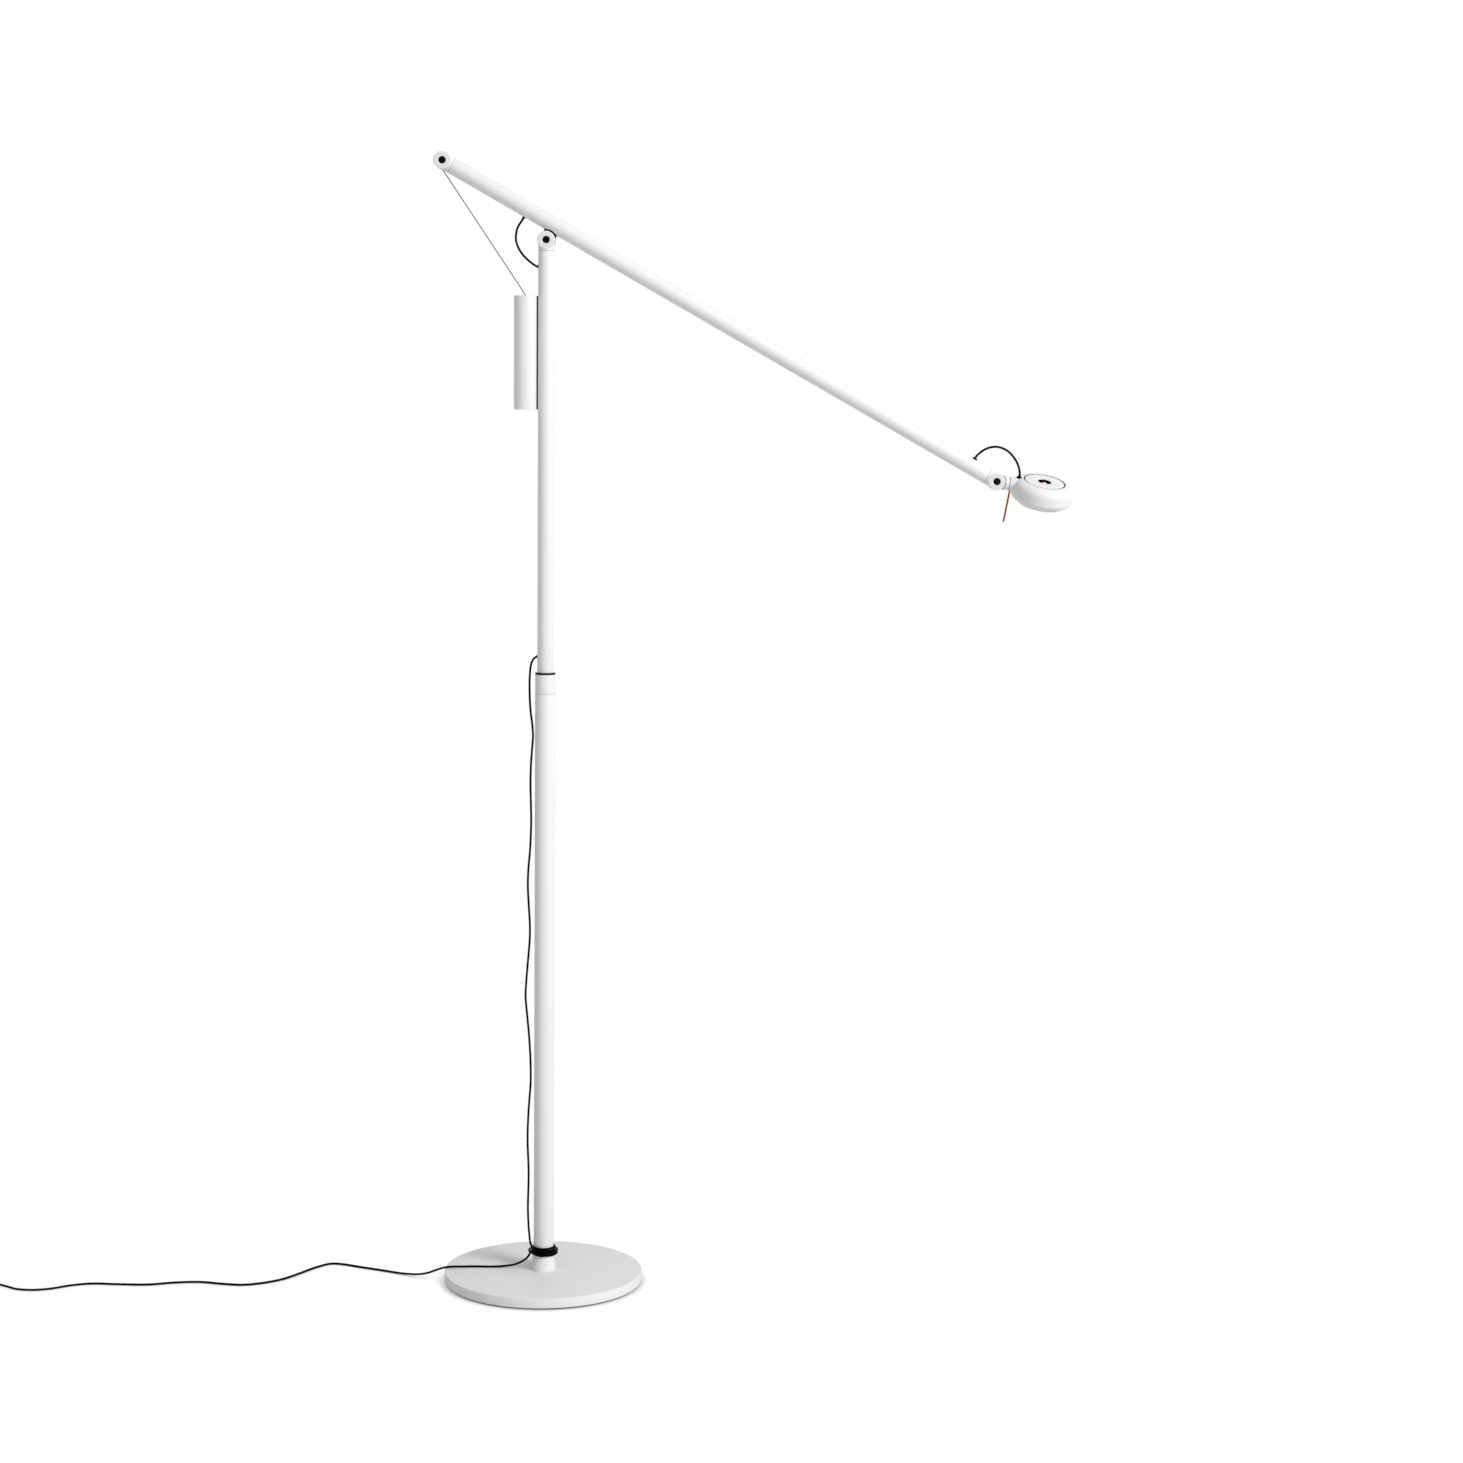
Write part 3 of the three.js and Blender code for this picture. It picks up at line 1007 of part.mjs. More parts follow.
const pivot = new THREE.Group();
pivot.position.set(0, 0, PIVOT_HEIGHT);
pivot.add(
  piece('stem_knuckle', knuckle(SLOT_WIDTH), ...PAINT),
  hingeScrew('pivot_screw'),
  hingeNut('pivot_nut'),
);
lamp.add(pivot);

const arm = new THREE.Group();
arm.rotation.y = ARM_SLOPE;
arm.add(
  armTube(), armLug(), lugScrew(), ...armGrommets(), armInnerLead(), tailKnuckle(), headKnuckle(),
  ...armHinges(),
);
pivot.add(arm);

const neck = new THREE.Group();
neck.position.set(ARM_REACH, 0, ARM_RISE);
neck.rotation.y = NECK_SLOPE - ARM_SLOPE;
neck.add(neckKnuckle(), swivelScrew());
arm.add(neck);

const head = new THREE.Group();
head.rotation.x = HEAD_ROLL;
head.add(
  headHousing(), headCover(), switchCup(), dimmerButton(), dimmerBoard(), heatSpreader(), ...spreaderScrews(),
  ledBoard(), reflector(), diffuser(), lensRing(), handlePin(), headGrommet(),
);
neck.add(head);
lamp.updateMatrixWorld(true);

// the wire runs from the tail pin down to the counterweight's top
const tailPin = arm.localToWorld(new THREE.Vector3(-ARM_TAIL, 0, ARM_RISE));
const weightTop = new THREE.Vector3(WEIGHT_AXIS, 0, PIVOT_HEIGHT - WEIGHT_DROP);
const wire = new THREE.Group();
wire.position.copy(tailPin);
wire.add(wireRoller(), steelWire(weightTop.clone().sub(tailPin).add(new THREE.Vector3(-0.3, 0, 2 * CORD_GAP))));
lamp.add(wire);

const weight = new THREE.Group();
weight.position.copy(weightTop);
weight.add(weightBody(), magnetStrip(), wireAnchor());
lamp.add(weight);

// leads over the hinges, ending face to face with their grommets
const lowFace = GROMMET_HEIGHT + SEAT + CORD_GAP;
const highFace = TALL_GROMMET_HEIGHT + SEAT + CORD_GAP;
const armUp = new THREE.Vector3(0, 0, 1).transformDirection(arm.matrixWorld);
const headUp = new THREE.Vector3(0, 0, 1).transformDirection(head.matrixWorld);
const armDown = armUp.clone().negate();
const stemEnd = new THREE.Vector3(-TUBE_RADIUS - lowFace, 0, -PIVOT_LEAD_DROP);
const tailEnd = pivot.worldToLocal(arm.localToWorld(
  new THREE.Vector3(-TAIL_LEAD_BACK, 0, ARM_RISE - TUBE_RADIUS - lowFace)));
pivot.add(pivotLead(stemEnd, tailEnd, armDown));

const headPin = arm.localToWorld(new THREE.Vector3(ARM_REACH, 0, ARM_RISE));
const armEnd = arm.localToWorld(new THREE.Vector3(ARM_REACH - HEAD_LEAD_BACK, 0, ARM_RISE + TUBE_RADIUS + highFace));
const headEnd = head.localToWorld(new THREE.Vector3(HEAD_LEAD_FORWARD, 0, HEAD_GROMMET_SEAT + highFace));
const overHead = new THREE.Group();
overHead.position.copy(headPin);
overHead.add(headLead(armEnd.sub(headPin), armUp, headEnd.sub(headPin), headUp));
lamp.add(overHead);

lamp.add(
  cordHanging(), cordWraps(), cordFloor(), cordCoil(), cordTail(), adapterBody(), adapterPlug(),
  adapterRelief(),
);

export default lamp;
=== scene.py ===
# %% [markdown]
# # Adjustable arm floor lamp
#
# A white floor lamp with a heavy round base, a stem in two tubes, an arm balanced by a counterweight that
# hangs from a thin wire, and a small round LED head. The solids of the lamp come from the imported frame. This
# script gives each of them its finish, replaces the ones that are seen closely with finer meshes, and adds
# what a solid model can't hold: soft cords, rounded rims, paint, studio and camera.
#
# The order is: frame, places, tools, camera, materials, studio, then the lamp from the floor up.

# %%
import json
import math
from collections import namedtuple

import bmesh
import bpy
import numpy as np
from mathutils import Matrix, Vector


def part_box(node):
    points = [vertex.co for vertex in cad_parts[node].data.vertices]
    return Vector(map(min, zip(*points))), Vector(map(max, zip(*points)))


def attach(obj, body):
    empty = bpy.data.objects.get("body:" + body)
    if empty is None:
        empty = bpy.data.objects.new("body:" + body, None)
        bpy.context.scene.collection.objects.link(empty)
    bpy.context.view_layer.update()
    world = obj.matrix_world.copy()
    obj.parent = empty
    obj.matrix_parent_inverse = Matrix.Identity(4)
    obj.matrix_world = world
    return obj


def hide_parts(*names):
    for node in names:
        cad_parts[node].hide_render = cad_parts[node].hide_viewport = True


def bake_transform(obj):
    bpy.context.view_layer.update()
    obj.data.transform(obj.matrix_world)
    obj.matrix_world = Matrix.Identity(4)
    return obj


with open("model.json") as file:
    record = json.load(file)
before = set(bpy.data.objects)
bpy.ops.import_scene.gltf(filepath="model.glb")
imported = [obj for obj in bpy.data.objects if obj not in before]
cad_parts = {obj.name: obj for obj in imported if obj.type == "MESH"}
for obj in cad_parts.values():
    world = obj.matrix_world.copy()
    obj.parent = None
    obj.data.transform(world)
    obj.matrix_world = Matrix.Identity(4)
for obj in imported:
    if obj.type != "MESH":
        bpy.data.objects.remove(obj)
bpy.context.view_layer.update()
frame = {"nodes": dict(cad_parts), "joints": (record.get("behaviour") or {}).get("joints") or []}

MM = 0.001

# %% [markdown]
# ## Places
#
# The frame already knows where everything turns, so every local frame is read from its joints: the arm's
# line runs through the two pins at its ends, and the head's disc lies across the direction in which its
# button is pressed.

# %%
JOINTS = {joint["name"]: joint for joint in frame["joints"]}


def joint_place(name):
    return Vector(JOINTS[name]["pos_m"])


def axes(origin, along, up):
    """4x4 matrix with X along one direction and Z as close as it can be to another."""
    x = Vector(along).normalized()
    y = Vector(up).cross(x).normalized()
    matrix = Matrix((x, y, x.cross(y))).transposed().to_4x4()
    matrix.translation = origin
    return matrix


Corner = namedtuple("Corner", "x y z")


def limits(name):
    """Lowest and highest corner of one of the frame's solids, in millimetres."""
    return [Corner(*(v / MM for v in corner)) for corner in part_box(name)]


def middle(name):
    return Corner(*((a + b) / 2 for a, b in zip(*limits(name))))


def local_x(place, name):
    """How far along a place's X the middle of a solid lies, in millimetres."""
    low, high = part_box(name)
    return (place.inverted() @ ((low + high) / 2)).x / MM


PIVOT_AT = joint_place("arm_tilt")
TAIL_AT = joint_place("wire_swing")
HEAD_AT = joint_place("head_tilt")
NECK_AXIS = Vector(JOINTS["head_roll"]["axis"])
STAND = Matrix.Identity(4)
PIVOT = Matrix.Translation(PIVOT_AT)
ARM = axes(PIVOT_AT, HEAD_AT - TAIL_AT, (0, 0, 1))
NECK = axes(HEAD_AT, NECK_AXIS, (0, 0, 1))
HEAD = axes(HEAD_AT, NECK_AXIS, -Vector(JOINTS["dimmer_press"]["axis"]))
arm_tail = ARM.inverted() @ TAIL_AT / MM
arm_head = ARM.inverted() @ HEAD_AT / MM
ARM_RISE = arm_head.z
HEAD_REACH = local_x(HEAD, "head_cover")
low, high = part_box("weight_body")
WEIGHT = Matrix.Translation(((low.x + high.x) / 2, 0, high.z))
print(f"arm: tail {arm_tail.x:.1f} mm, head {arm_head.x:.1f} mm, rise {ARM_RISE:.1f} mm")
print(f"head: middle {HEAD_REACH:.1f} mm from its hinge")

# %% [markdown]
# ## Tools for shapes
#
# Most of the lamp is turned on a lathe, so the main tool here is one too. A profile is a list of (radius,
# height) corners in millimetres with an optional rounding radius for each corner. Rounded corners matter: it
# is the small radius on an edge that catches the light and makes a part look made and not drawn.

# %%
def rounded(profile, steps=5, ring=False):
    """The profile with each corner that states a radius replaced by an arc."""
    points = [np.array(p[:2], float) for p in profile]
    radii = [p[2] if len(p) > 2 else 0.0 for p in profile]
    out = []
    for i, corner in enumerate(points):
        inside = ring or 0 < i < len(points) - 1
        if not inside or radii[i] <= 0:
            out.append(corner)
            continue
        before, after = points[i - 1], points[(i + 1) % len(points)]
        a, b = before - corner, after - corner
        la, lb = np.linalg.norm(a), np.linalg.norm(b)
        a, b = a / la, b / lb
        half = math.acos(float(np.clip(a @ b, -1, 1))) / 2
        room_a = la * radii[i] / (radii[i] + radii[i - 1])
        room_b = lb * radii[i] / (radii[i] + radii[(i + 1) % len(points)])
        reach = min(radii[i] / math.tan(half), 0.98 * room_a, 0.98 * room_b)
        radius = reach * math.tan(half)
        centre = corner + (a + b) / np.linalg.norm(a + b) * (radius / math.sin(half))
        start, end = corner + a * reach - centre, corner + b * reach - centre
        turn = math.atan2(start[0] * end[1] - start[1] * end[0], float(start @ end))
        for k in range(steps + 1):
            angle = turn * k / steps
            c, s = math.cos(angle), math.sin(angle)
            out.append(centre + np.array([c * start[0] - s * start[1], s * start[0] + c * start[1]]))
    return out


def add_object(name, data):
    obj = bpy.data.objects.new(name, data)
    bpy.context.scene.collection.objects.link(obj)
    return obj


def clean(mesh, merge=0.0, slivers=0.0, outward=True):
    """Merges vertices and dissolves slivers below a size in metres, and turns normals outward, if asked."""
    bm = bmesh.new()
    bm.from_mesh(mesh)
    if merge:
        bmesh.ops.remove_doubles(bm, verts=bm.verts, dist=merge)
    if slivers:
        bmesh.ops.dissolve_degenerate(bm, edges=bm.edges, dist=slivers)
    if outward:
        bmesh.ops.recalc_face_normals(bm, faces=bm.faces)
    bm.to_mesh(mesh)
    bm.free()


def shade(obj, angle=38):
    """Smooth shading that keeps edges sharper than an angle in degrees crisp."""
    obj.data.polygons.foreach_set("use_smooth", [True] * len(obj.data.polygons))
    obj.data.set_sharp_from_angle(angle=math.radians(angle))
    return obj


def mesh_object(name, verts, faces, place=STAND):
    """Mesh from coordinates in millimetres, laid at its place, with outward normals."""
    mesh = bpy.data.meshes.new(name)
    mesh.from_pydata([Vector(v) * MM for v in verts], [], faces)
    mesh.transform(place)
    clean(mesh, merge=1e-7)
    return shade(add_object(name, mesh))


def lathe(name, profile, place=STAND, facets=96, ring=False, steps=5):
    """Turns a profile round local Z. It starts and ends on the axis, or it is closed on itself as a ring."""
    outline = rounded(profile, steps, ring)
    verts, faces, rows = [], [], []
    for radius, height in outline:
        if radius < 1e-6:
            rows.append([len(verts)] * facets)
            verts.append((0, 0, height))
            continue
        rows.append(list(range(len(verts), len(verts) + facets)))
        for i in range(facets):
            angle = 2 * math.pi * i / facets
            verts.append((radius * math.cos(angle), radius * math.sin(angle), height))
    pairs = list(zip(rows, rows[1:])) + ([(rows[-1], rows[0])] if ring else [])
    for lower, upper in pairs:
        for i in range(facets):
            j = (i + 1) % facets
            corners = [lower[i], lower[j], upper[j], upper[i]]
            face = [v for k, v in enumerate(corners) if v != corners[k - 1]]
            if len(face) > 2:
                faces.append(face)
    return mesh_object(name, verts, faces, place)


def band(inner, outer, low, high, edge=0.0):
    """Profile of a ring of rectangular section, with a rounding radius for its outer corners."""
    return [(inner, low), (outer, low, edge), (outer, high, edge), (inner, high)]


def box(name, low, high, place=STAND):
    verts = [(x, y, z) for x in (low[0], high[0]) for y in (low[1], high[1]) for z in (low[2], high[2])]
    faces = [(0, 1, 3, 2), (4, 6, 7, 5), (0, 4, 5, 1), (2, 3, 7, 6), (0, 2, 6, 4), (1, 5, 7, 3)]
    return mesh_object(name, verts, faces, place)


def rod(name, radius, low, high, place=STAND, facets=64, edge=0.0):
    return lathe(name, [(0, low), (radius, low, edge), (radius, high, edge), (0, high)], place, facets)


def moved(x=0, y=0, z=0):
    return Matrix.Translation((x * MM, y * MM, z * MM))


def turned_to(direction, offset=(0, 0, 0)):
    """Local matrix that lays a lathe's Z axis along a direction, at an offset in millimetres."""
    rotation = Vector((0, 0, 1)).rotation_difference(Vector(direction)).to_matrix().to_4x4()
    return Matrix.Translation(Vector(offset) * MM) @ rotation


ACROSS = turned_to((0, 1, 0))
FRONT = turned_to((0, -1, 0))
ALONG = Matrix.Rotation(math.pi / 2, 4, "Y")


def baked(obj):
    """Applies the modifiers, so that what is left is a plain mesh."""
    mesh = bpy.data.meshes.new_from_object(obj.evaluated_get(bpy.context.evaluated_depsgraph_get()))
    mesh.name = obj.name
    obj.modifiers.clear()
    obj.data = mesh
    return obj


def combine(target, tools, operation):
    """Boolean of target with each tool, which is used up. Hair-thin slivers that a cut leaves are closed."""
    for tool in tools:
        modifier = target.modifiers.new(operation.lower(), "BOOLEAN")
        modifier.operation = operation
        modifier.solver = "MANIFOLD"
        modifier.object = tool
    bpy.context.view_layer.update()
    clean(baked(target).data, merge=2e-6, slivers=2e-6, outward=False)
    for tool in tools:
        bpy.data.objects.remove(tool)
    return shade(target)


def cut(target, *tools):
    return combine(target, tools, "DIFFERENCE")


def join(target, *tools):
    return combine(target, tools, "UNION")


def laid(obj, place):
    """Moves a shape that was made in its own frame to its place."""
    obj.data.transform(place)
    return obj


def finish_piece(obj, body, slot, *nodes):
    """Gives a piece the finish of its slot, hangs it on its body and lets it stand for its solids.

    Pieces whose slot has no finish in the table bring their own.
    """
    obj.name = obj.name.replace(",", "").replace(" ", "-")
    if slot in FINISHES:
        obj.data.materials.clear()
        obj.data.materials.append(FINISHES[slot])
    if body:
        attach(obj, body)
    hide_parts(*nodes)
    return obj


def turned_piece(name, body, slot, node, profile, *layout, **options):
    """A piece that is one lathe shape, made and finished."""
    return finish_piece(lathe(name, profile, *layout, **options), body, slot, node)


def dress(material, *names):
    """Keeps solids of the frame as they are and gives them a finish and smooth round faces."""
    for name in names:
        obj = frame["nodes"][name]
        obj.data.materials.clear()
        obj.data.materials.append(material)
        shade(obj, 30)


print("tools ready")

# %% [markdown]
# ## Tools for cords
#
# A cord is a line first and a tube last. The line goes through a few places with a centripetal Catmull-Rom
# curve, which passes through every place without loops. Then a small Geometry Nodes tree sweeps a round
# section along it, so every lead of the lamp is made by the same rule and can be changed in one place.

# %%
def through(places, step=1.5):
    """Smooth line through the places, with points about step millimetres apart."""
    p = [np.array(v, float) for v in places]
    p = [2 * p[0] - p[1]] + p + [2 * p[-1] - p[-2]]
    out = []
    for i in range(1, len(p) - 2):
        a, b, c, d = p[i - 1], p[i], p[i + 1], p[i + 2]
        t = [0.0]
        for u, v in ((a, b), (b, c), (c, d)):
            t.append(t[-1] + max(np.linalg.norm(v - u), 1e-6) ** 0.5)
        count = max(2, int(np.linalg.norm(c - b) / step))
        for k in range(count):
            s = t[1] + (t[2] - t[1]) * k / count
            row = [a, b, c, d]
            for knots in (((0, 1), (1, 2), (2, 3)), ((0, 2), (1, 3)), ((1, 2),)):
                row = [u + (v - u) * (s - t[m]) / (t[n] - t[m]) for u, v, (m, n) in zip(row, row[1:], knots)]
            out.append(row[0])
    out.append(p[-2])
    return np.array(out)


def even(line, step):
    """The same line with points at even distances."""
    lengths = np.r_[0, np.cumsum(np.linalg.norm(np.diff(line, axis=0), axis=1))]
    count = max(2, int(round(lengths[-1] / step)) + 1)
    at = np.linspace(0, lengths[-1], count)
    return np.stack([np.interp(at, lengths, line[:, k]) for k in range(3)], axis=1)


def eased(line, passes):
    """Rounds the line's small kinks and leaves its two ends alone."""
    line = line.copy()
    for _ in range(passes):
        line[1:-1] = 0.25 * line[:-2] + 0.5 * line[1:-1] + 0.25 * line[2:]
    return line


def line_length(line):
    return float(np.linalg.norm(np.diff(line, axis=0), axis=1).sum())


def add_node(tree, kind, **inputs):
    """New node of the tree's own sort with some inputs set. From_Min stands for the input "From Min"."""
    node = tree.nodes.new(tree.bl_idname.replace("Tree", "") + kind)
    for label, value in inputs.items():
        node.inputs[label.replace("_", " ")].default_value = value
    return node


def connect(tree, *links):
    """Links given as (node, output, node, input), by name or by number."""
    for source, output, target, taken in links:
        tree.links.new(source.outputs[output], target.inputs[taken])


def sweep_tree():
    """Line -> round tube: a circle of a given radius swept along the line, with closed ends."""
    tree = bpy.data.node_groups.new("cord_sweep", "GeometryNodeTree")
    inputs = [("Geometry", "Geometry"), ("Radius", "Float"), ("Sides", "Int"), ("Material", "Material")]
    for label, kind in inputs:
        tree.interface.new_socket(name=label, in_out="INPUT", socket_type="NodeSocket" + kind)
    tree.interface.new_socket(name="Geometry", in_out="OUTPUT", socket_type="NodeSocketGeometry")
    given, made = tree.nodes.new("NodeGroupInput"), tree.nodes.new("NodeGroupOutput")
    curve = add_node(tree, "MeshToCurve")
    circle = add_node(tree, "CurvePrimitiveCircle")
    tube = add_node(tree, "CurveToMesh", Fill_Caps=True)
    smooth = add_node(tree, "SetShadeSmooth")
    paint = add_node(tree, "SetMaterial")
    connect(tree,
            (given, "Geometry", curve, "Mesh"), (given, "Sides", circle, "Resolution"),
            (given, "Radius", circle, "Radius"), (curve, "Curve", tube, "Curve"),
            (circle, "Curve", tube, "Profile Curve"), (tube, "Mesh", smooth, "Geometry"),
            (smooth, "Geometry", paint, "Geometry"), (given, "Material", paint, "Material"),
            (paint, "Geometry", made, "Geometry"))
    return tree


SWEEP = sweep_tree()


def cord(name, line, diameter, material, sides=16):
    """Round cord along a line in millimetres, made by the sweep tree and baked."""
    mesh = bpy.data.meshes.new(name)
    mesh.from_pydata([Vector(p) * MM for p in line], [(i, i + 1) for i in range(len(line) - 1)], [])
    obj = add_object(name, mesh)
    modifier = obj.modifiers.new("sweep", "NODES")
    modifier.node_group = SWEEP
    values = {"Radius": diameter / 2 * MM, "Sides": sides, "Material": material}
    for item in SWEEP.interface.items_tree:
        if item.in_out == "INPUT" and item.name in values:
            modifier[item.identifier] = values[item.name]
    bpy.context.view_layer.update()
    clean(baked(obj).data)
    return shade(obj, 50)


def in_row(place, *points):
    """Local points in millimetres, in the row frame in millimetres."""
    return [np.array(place @ (Vector(p) * MM)) / MM for p in points]


print("cord tools ready")

# %% [markdown]
# ## Camera
#
# A short telephoto lens a little over three and a half metres away, at about the height of the arm, looking
# slightly down. Its directions are written as a matrix, because a lens that leans by half a degree is easier
# to state than to turn.

# %%
LENS = 72.32
SENSOR = 36
CAMERA_AT = Vector((0.2325, -3.6417, 1.1226))
PITCH = math.radians(6.533)
LEAN = math.radians(0.587)

right = Vector((1, 0, 0))
up = Vector((0, math.sin(PITCH), math.cos(PITCH)))
ahead = Vector((0, math.cos(PITCH), -math.sin(PITCH)))
leaning_right = right * math.cos(LEAN) + up * math.sin(LEAN)
leaning_up = up * math.cos(LEAN) - right * math.sin(LEAN)
camera_data = bpy.data.cameras.new("camera")
camera_data.lens = LENS
camera_data.sensor_width = SENSOR
camera_data.clip_end = 50
camera = add_object("camera", camera_data)
turned = Matrix((leaning_right, leaning_up, -ahead)).transposed().to_4x4()
camera.matrix_world = Matrix.Translation(CAMERA_AT) @ turned
bpy.context.scene.camera = camera
print("camera at", [round(v, 3) for v in CAMERA_AT])

# %% [markdown]
# ## Materials
#
# Every finish is named for what it really is, except the greyer white on the knuckles' flat cheek faces, which
# is painted shade. Colours are given as they look on a screen and turned into linear light by one function.
# Bumps are in real sizes: the orange peel of powder paint is about a millimetre across and a few thousandths
# high. A bevel node gives all painted parts the soft edge that paint has.

# %%
def screen(code):
    """Screen colour such as #e6e6e4 as linear light."""
    values = [int(code[i:i + 2], 16) / 255 for i in (1, 3, 5)]
    return [v / 12.92 if v <= 0.04045 else ((v + 0.055) / 1.055) ** 2.4 for v in values] + [1.0]


def new_material(name, colour, roughness, metallic=0.0, **more):
    """Principled material and its nodes, ready for bumps."""
    material = bpy.data.materials.new(name)
    material.use_nodes = True
    shader = material.node_tree.nodes["Principled BSDF"]
    values = {"Base Color": screen(colour), "Roughness": roughness, "Metallic": metallic, **more}
    for label, value in values.items():
        shader.inputs[label.replace("_", " ")].default_value = value
    material.diffuse_color = screen(colour)
    return material, material.node_tree, shader


def noise(tree, size_mm, detail=2.0):
    """Noise in object space whose features are about size_mm across."""
    texture = add_node(tree, "TexNoise", Scale=1000.0 / size_mm, Detail=detail)
    connect(tree, (add_node(tree, "TexCoord"), "Object", texture, "Vector"))
    return texture


def add_bump(tree, shader, texture, height_mm, edge_mm=0.0):
    """Bump of a real height, over a bevelled normal if edge_mm is more than 0."""
    bump = add_node(tree, "Bump", Distance=height_mm * MM, Strength=1.0)
    connect(tree, (texture, "Fac", bump, "Height"), (bump, "Normal", shader, "Normal"))
    if edge_mm > 0:
        bevel = add_node(tree, "Bevel", Radius=edge_mm * MM)
        bevel.samples = 4
        connect(tree, (bevel, "Normal", bump, "Normal"))


def vary(tree, shader, texture, low, high):
    """Lets a noise move the shader's roughness between low and high."""
    spread = add_node(tree, "MapRange", From_Min=0.3, From_Max=0.7, To_Min=low, To_Max=high)
    connect(tree, (texture, "Fac", spread, "Value"), (spread, "Result", shader, "Roughness"))


def powder_paint(name, colour, roughness=0.45, peel_mm=1.1, height_mm=0.006, gloss=0.25):
    material, tree, shader = new_material(name, colour, roughness, Specular_IOR_Level=gloss)
    add_bump(tree, shader, noise(tree, peel_mm), height_mm, edge_mm=0.35)
    vary(tree, shader, noise(tree, 18.0, 3.0), roughness - 0.04, roughness + 0.05)
    return material


def moulded(name, colour, roughness=0.45, grain_mm=0.35, height_mm=0.004, gloss=0.5):
    material, tree, shader = new_material(name, colour, roughness, Specular_IOR_Level=gloss)
    add_bump(tree, shader, noise(tree, grain_mm), height_mm, edge_mm=0.2)
    vary(tree, shader, noise(tree, 6.0, 3.0), roughness - 0.05, roughness + 0.08)
    return material


def machined(name, colour, roughness=0.28, line_mm=0.12):
    """Bare metal with fine tool marks, stronger across the piece than along it."""
    material, tree, shader = new_material(name, colour, roughness, metallic=1.0)
    stretch = add_node(tree, "Mapping", Scale=(0.15, 0.15, 1.0))
    lines = add_node(tree, "TexNoise", Scale=1000.0 / line_mm)
    connect(tree, (add_node(tree, "TexCoord"), "Object", stretch, "Vector"),
            (stretch, "Vector", lines, "Vector"))
    add_bump(tree, shader, lines, 0.003, edge_mm=0.15)
    vary(tree, shader, lines, roughness - 0.06, roughness + 0.1)
    return material


def wire_rope(name, colour, strand_mm=1.4):
    """Fine steel rope: slanting bright and dark strands along the wire."""
    material, tree, shader = new_material(name, colour, 0.4, metallic=0.8)
    strands = add_node(tree, "TexWave", Scale=1000.0 / strand_mm, Distortion=0.4)
    strands.bands_direction = "DIAGONAL"
    connect(tree, (add_node(tree, "TexCoord"), "Object", strands, "Vector"))
    add_bump(tree, shader, strands, 0.05)
    return material


def frosted(name, colour):
    """Opal acrylic: light enters it and comes out soft."""
    material, tree, shader = new_material(name, colour, 0.42, Subsurface_Weight=0.5,
                                          Subsurface_Radius=(0.004, 0.004, 0.0035))
    add_bump(tree, shader, noise(tree, 0.4), 0.01, edge_mm=0.2)
    return material


WHITE_PAINT = powder_paint("white powder paint", "#e3e4e3")
# Greyer white for the knuckles' flat cheek faces: painted shade, standing in for the darker reflection those
# faces show.
FLAT_FACE_SHADE_PAINT = powder_paint("white paint on milled faces", "#dbdcdb")
ORANGE_PAINT = powder_paint("orange lacquer", "#c2330c", 0.3, peel_mm=2.0, height_mm=0.002, gloss=0.08)
BLACKENED = powder_paint("blackened steel", "#080808", 0.5, peel_mm=0.5, height_mm=0.003, gloss=0.05)
BLACK_PLASTIC = moulded("black nylon", "#0a0a0a", 0.5, gloss=0.08)
RUBBER = moulded("black rubber", "#050505", 0.62, grain_mm=0.5, height_mm=0.008, gloss=0.05)
MAGNET = moulded("magnetic rubber strip", "#070707", 0.7, gloss=0.05)
CORD_PVC = moulded("black PVC cord sheath", "#030303", 0.5, grain_mm=0.8, height_mm=0.006, gloss=0.03)
PINK_PLASTIC = moulded("pale pink button plastic", "#f0cfd0", 0.35)
WHITE_PLASTIC = moulded("white reflector plastic", "#f4f4f2", 0.3)
STEEL = machined("bright steel", "#b4b6b8")
ALUMINIUM = machined("raw aluminium", "#c3c6c9", 0.34, 0.3)
BRASS = machined("nickel-plated brass", "#c9c5ba", 0.2)
GREEN_BOARD = moulded("green circuit board", "#1d5a35", 0.35, grain_mm=2.5, height_mm=0.03)
LED_BOARD = moulded("white board with yellow phosphor", "#efd98c", 0.4, grain_mm=1.2, height_mm=0.02)
WIRE_STEEL = wire_rope("steel wire rope", "#3a3c3f")
OPAL = frosted("opal acrylic", "#f6f4ee")
FINISHES = {
    "white_paint_steel": WHITE_PAINT, "white_paint_aluminium": WHITE_PAINT, "orange_paint": ORANGE_PAINT,
    "black_steel": BLACKENED, "bare_steel": STEEL, "black_rubber": RUBBER, "black_pad": RUBBER,
    "black_magnet": MAGNET, "black_plastic": BLACK_PLASTIC, "pink_plastic": PINK_PLASTIC,
    "frosted_acrylic": OPAL,
}
print("materials:", ", ".join(sorted(m.name for m in bpy.data.materials)))
